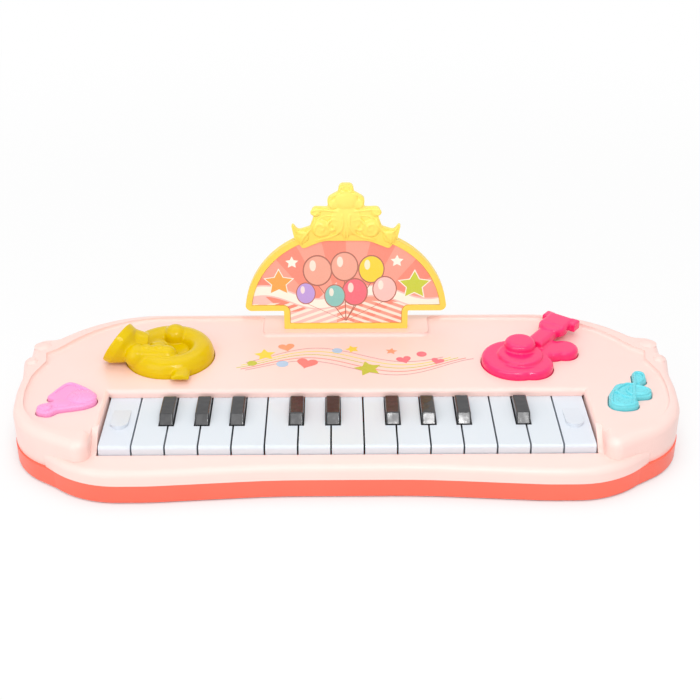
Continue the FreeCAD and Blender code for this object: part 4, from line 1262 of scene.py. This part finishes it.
@dataclass
class Studio:
    """White floor and backdrop, soft lamps and the camera."""

    look_at: tuple[float, float, float] = (2.6 * MM, 47.6 * MM, 28.1 * MM)
    distance: float = 0.869
    elevation: float = 30.0
    yaw: float = -0.67
    roll: float = 0.09
    lens: float = 66.1
    sensor: float = 36.0
    nearest: float = 10 * MM
    floor_size: float = 8.0
    floor_paint: Colour = (0.86, 0.86, 0.86, 1.0)
    floor_cloud: Colour = (0.88, 0.88, 0.88, 1.0)
    cloud_scale: float = 3.0
    pool_edge: Point = (0.3, 0.9)
    pool_white: float = 0.86
    # How far and how finely the painted contact shade on the floor reaches
    painted_contact_shade_reach: float = 14 * MM
    painted_contact_shade_samples: int = 16
    sky_strength: float = 0.55
    lamps: tuple[Lamp, ...] = (
        Lamp("softbox_right", 0.9, 0.29),
        Lamp("softbox_middle", 0.7, 0.11),
        Lamp("softbox_left", 0.4, -0.07),
        Lamp("softbox_far_left", 0.2, -0.25),
        Lamp("spark", 1.2, 0.13, -0.7, 0.8, 0.06, 0.05),
        Lamp("front_fill", 8.0, -0.9, -1.1, 0.8, 1.2, 1.2),
        Lamp("top_panel", 8.0, 0.0, 0.35, 1.5, 1.6, 1.6),
    )

    def build(self) -> None:
        """Set the stage, the light and the view."""
        self._floor()
        self._world()
        for lamp in self.lamps:
            self._hang(lamp)
        self._camera()
        bpy.context.scene.view_settings.view_transform = "Standard"

    def _floor(self) -> None:
        """Lay a white floor that keeps the toy's soft shadow, deepened by painted contact shade close to the
        toy, and is a little less white around the toy.
        """
        bpy.ops.mesh.primitive_plane_add(size=self.floor_size)
        floor = bpy.context.object
        floor.name = "studio_floor"
        material = bpy.data.materials.new("studio_white")
        tree = Tree(material)
        place = tree.place()
        across, along, _ = tree.axes(place)
        pool = tree.ease(squares(across, along).root(), *self.pool_edge, low=self.pool_white)
        # Painted contact shade: ambient occlusion takes the floor's glow away close under and beside the toy
        clear = tree.node("ShaderNodeAmbientOcclusion", {"samples": self.painted_contact_shade_samples},
                          {"Distance": self.painted_contact_shade_reach}, output="AO")
        cloud = tree.noise(place, self.cloud_scale)
        paint = tree.node("ShaderNodeBsdfDiffuse", None,
                          {"Color": tree.mix(cloud, self.floor_paint, self.floor_cloud)})
        glow = tree.node("ShaderNodeEmission", None, {"Color": WHITE, "Strength": 1.0})
        # Near the toy the glow gives way to the floor's real lit and shaded paint, and to the painted
        # contact shade
        seen = self._seen(tree) * pool * clear
        tree.surface(tree.node("ShaderNodeMixShader", None, {0: seen, 1: paint, 2: glow}))
        floor.data.materials.append(material)

    @staticmethod
    def _seen(tree: Tree) -> Value:
        """Tell which rays see the background.

        Args:
            tree: Where the nodes go.

        Returns:
            1 for rays from the camera, mirrors and clear pieces, else 0.
        """
        path = tree.node("ShaderNodeLightPath").socket.node.outputs
        names = ("Is Camera Ray", "Is Glossy Ray", "Is Transmission Ray")
        camera, glossy, clear = [Value(tree, path[name]) for name in names]
        return tree.math("MAXIMUM", camera, tree.math("MAXIMUM", glossy, clear))

    def _world(self) -> None:
        """Make the world white where it is seen, and a gentle sky for the light."""
        world = bpy.context.scene.world or bpy.data.worlds.new("studio")
        bpy.context.scene.world = world
        tree = Tree(world)
        seen = self._seen(tree)
        sky = tree.node("ShaderNodeBackground", None, {"Color": WHITE, "Strength": self.sky_strength})
        white = tree.node("ShaderNodeBackground", None, {"Color": WHITE, "Strength": 1.0})
        mixed = tree.node("ShaderNodeMixShader", None, {0: seen, 1: sky, 2: white})
        tree.node("ShaderNodeOutputWorld", None, {"Surface": mixed})

    def _hang(self, lamp: Lamp) -> None:
        """Hang an area lamp so that it faces the toy.

        Args:
            lamp: The lamp.
        """
        data = bpy.data.lights.new(lamp.name, "AREA")
        data.shape = "RECTANGLE"
        data.size = lamp.wide
        data.size_y = lamp.tall
        data.energy = lamp.power
        item = bpy.data.objects.new(lamp.name, data)
        item.location = (lamp.x, lamp.y, lamp.z)
        gaze = Vector(self.look_at) - item.location
        item.rotation_euler = gaze.to_track_quat("-Z", "Y").to_euler()
        bpy.context.scene.collection.objects.link(item)

    def _camera(self) -> None:
        """Set up the camera at the photograph's angle."""
        yaw, rise, roll = (math.radians(angle) for angle in (self.yaw, self.elevation, self.roll))
        back = Vector((math.sin(yaw) * math.cos(rise), -math.cos(yaw) * math.cos(rise), math.sin(rise)))
        level = Vector((math.cos(yaw), math.sin(yaw), 0.0))
        upright = back.cross(level)
        right = level * math.cos(roll) + upright * math.sin(roll)
        upward = upright * math.cos(roll) - level * math.sin(roll)
        data = bpy.data.cameras.new("camera")
        data.lens = self.lens
        data.sensor_width = self.sensor
        data.clip_start = self.nearest
        camera = bpy.data.objects.new("camera", data)
        turn = Matrix((right, upward, back)).transposed().to_4x4()
        camera.matrix_world = Matrix.Translation(Vector(self.look_at) + back * self.distance) @ turn
        bpy.context.scene.collection.objects.link(camera)
        bpy.context.scene.camera = camera


def main() -> None:
    """Build the toy's looks in order."""
    logging.basicConfig(level=logging.INFO, format="%(name)s: %(message)s")
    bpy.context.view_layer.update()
    wardrobe = Wardrobe()
    Case(wardrobe).dress()
    for assembly in (DeckPrint(wardrobe), CrestRelief(wardrobe), ButtonRelief(wardrobe)):
        for piece in assembly.build():
            LOG.info("made %s", piece.name)
    Studio().build()


if __name__ == "__main__":
    main()
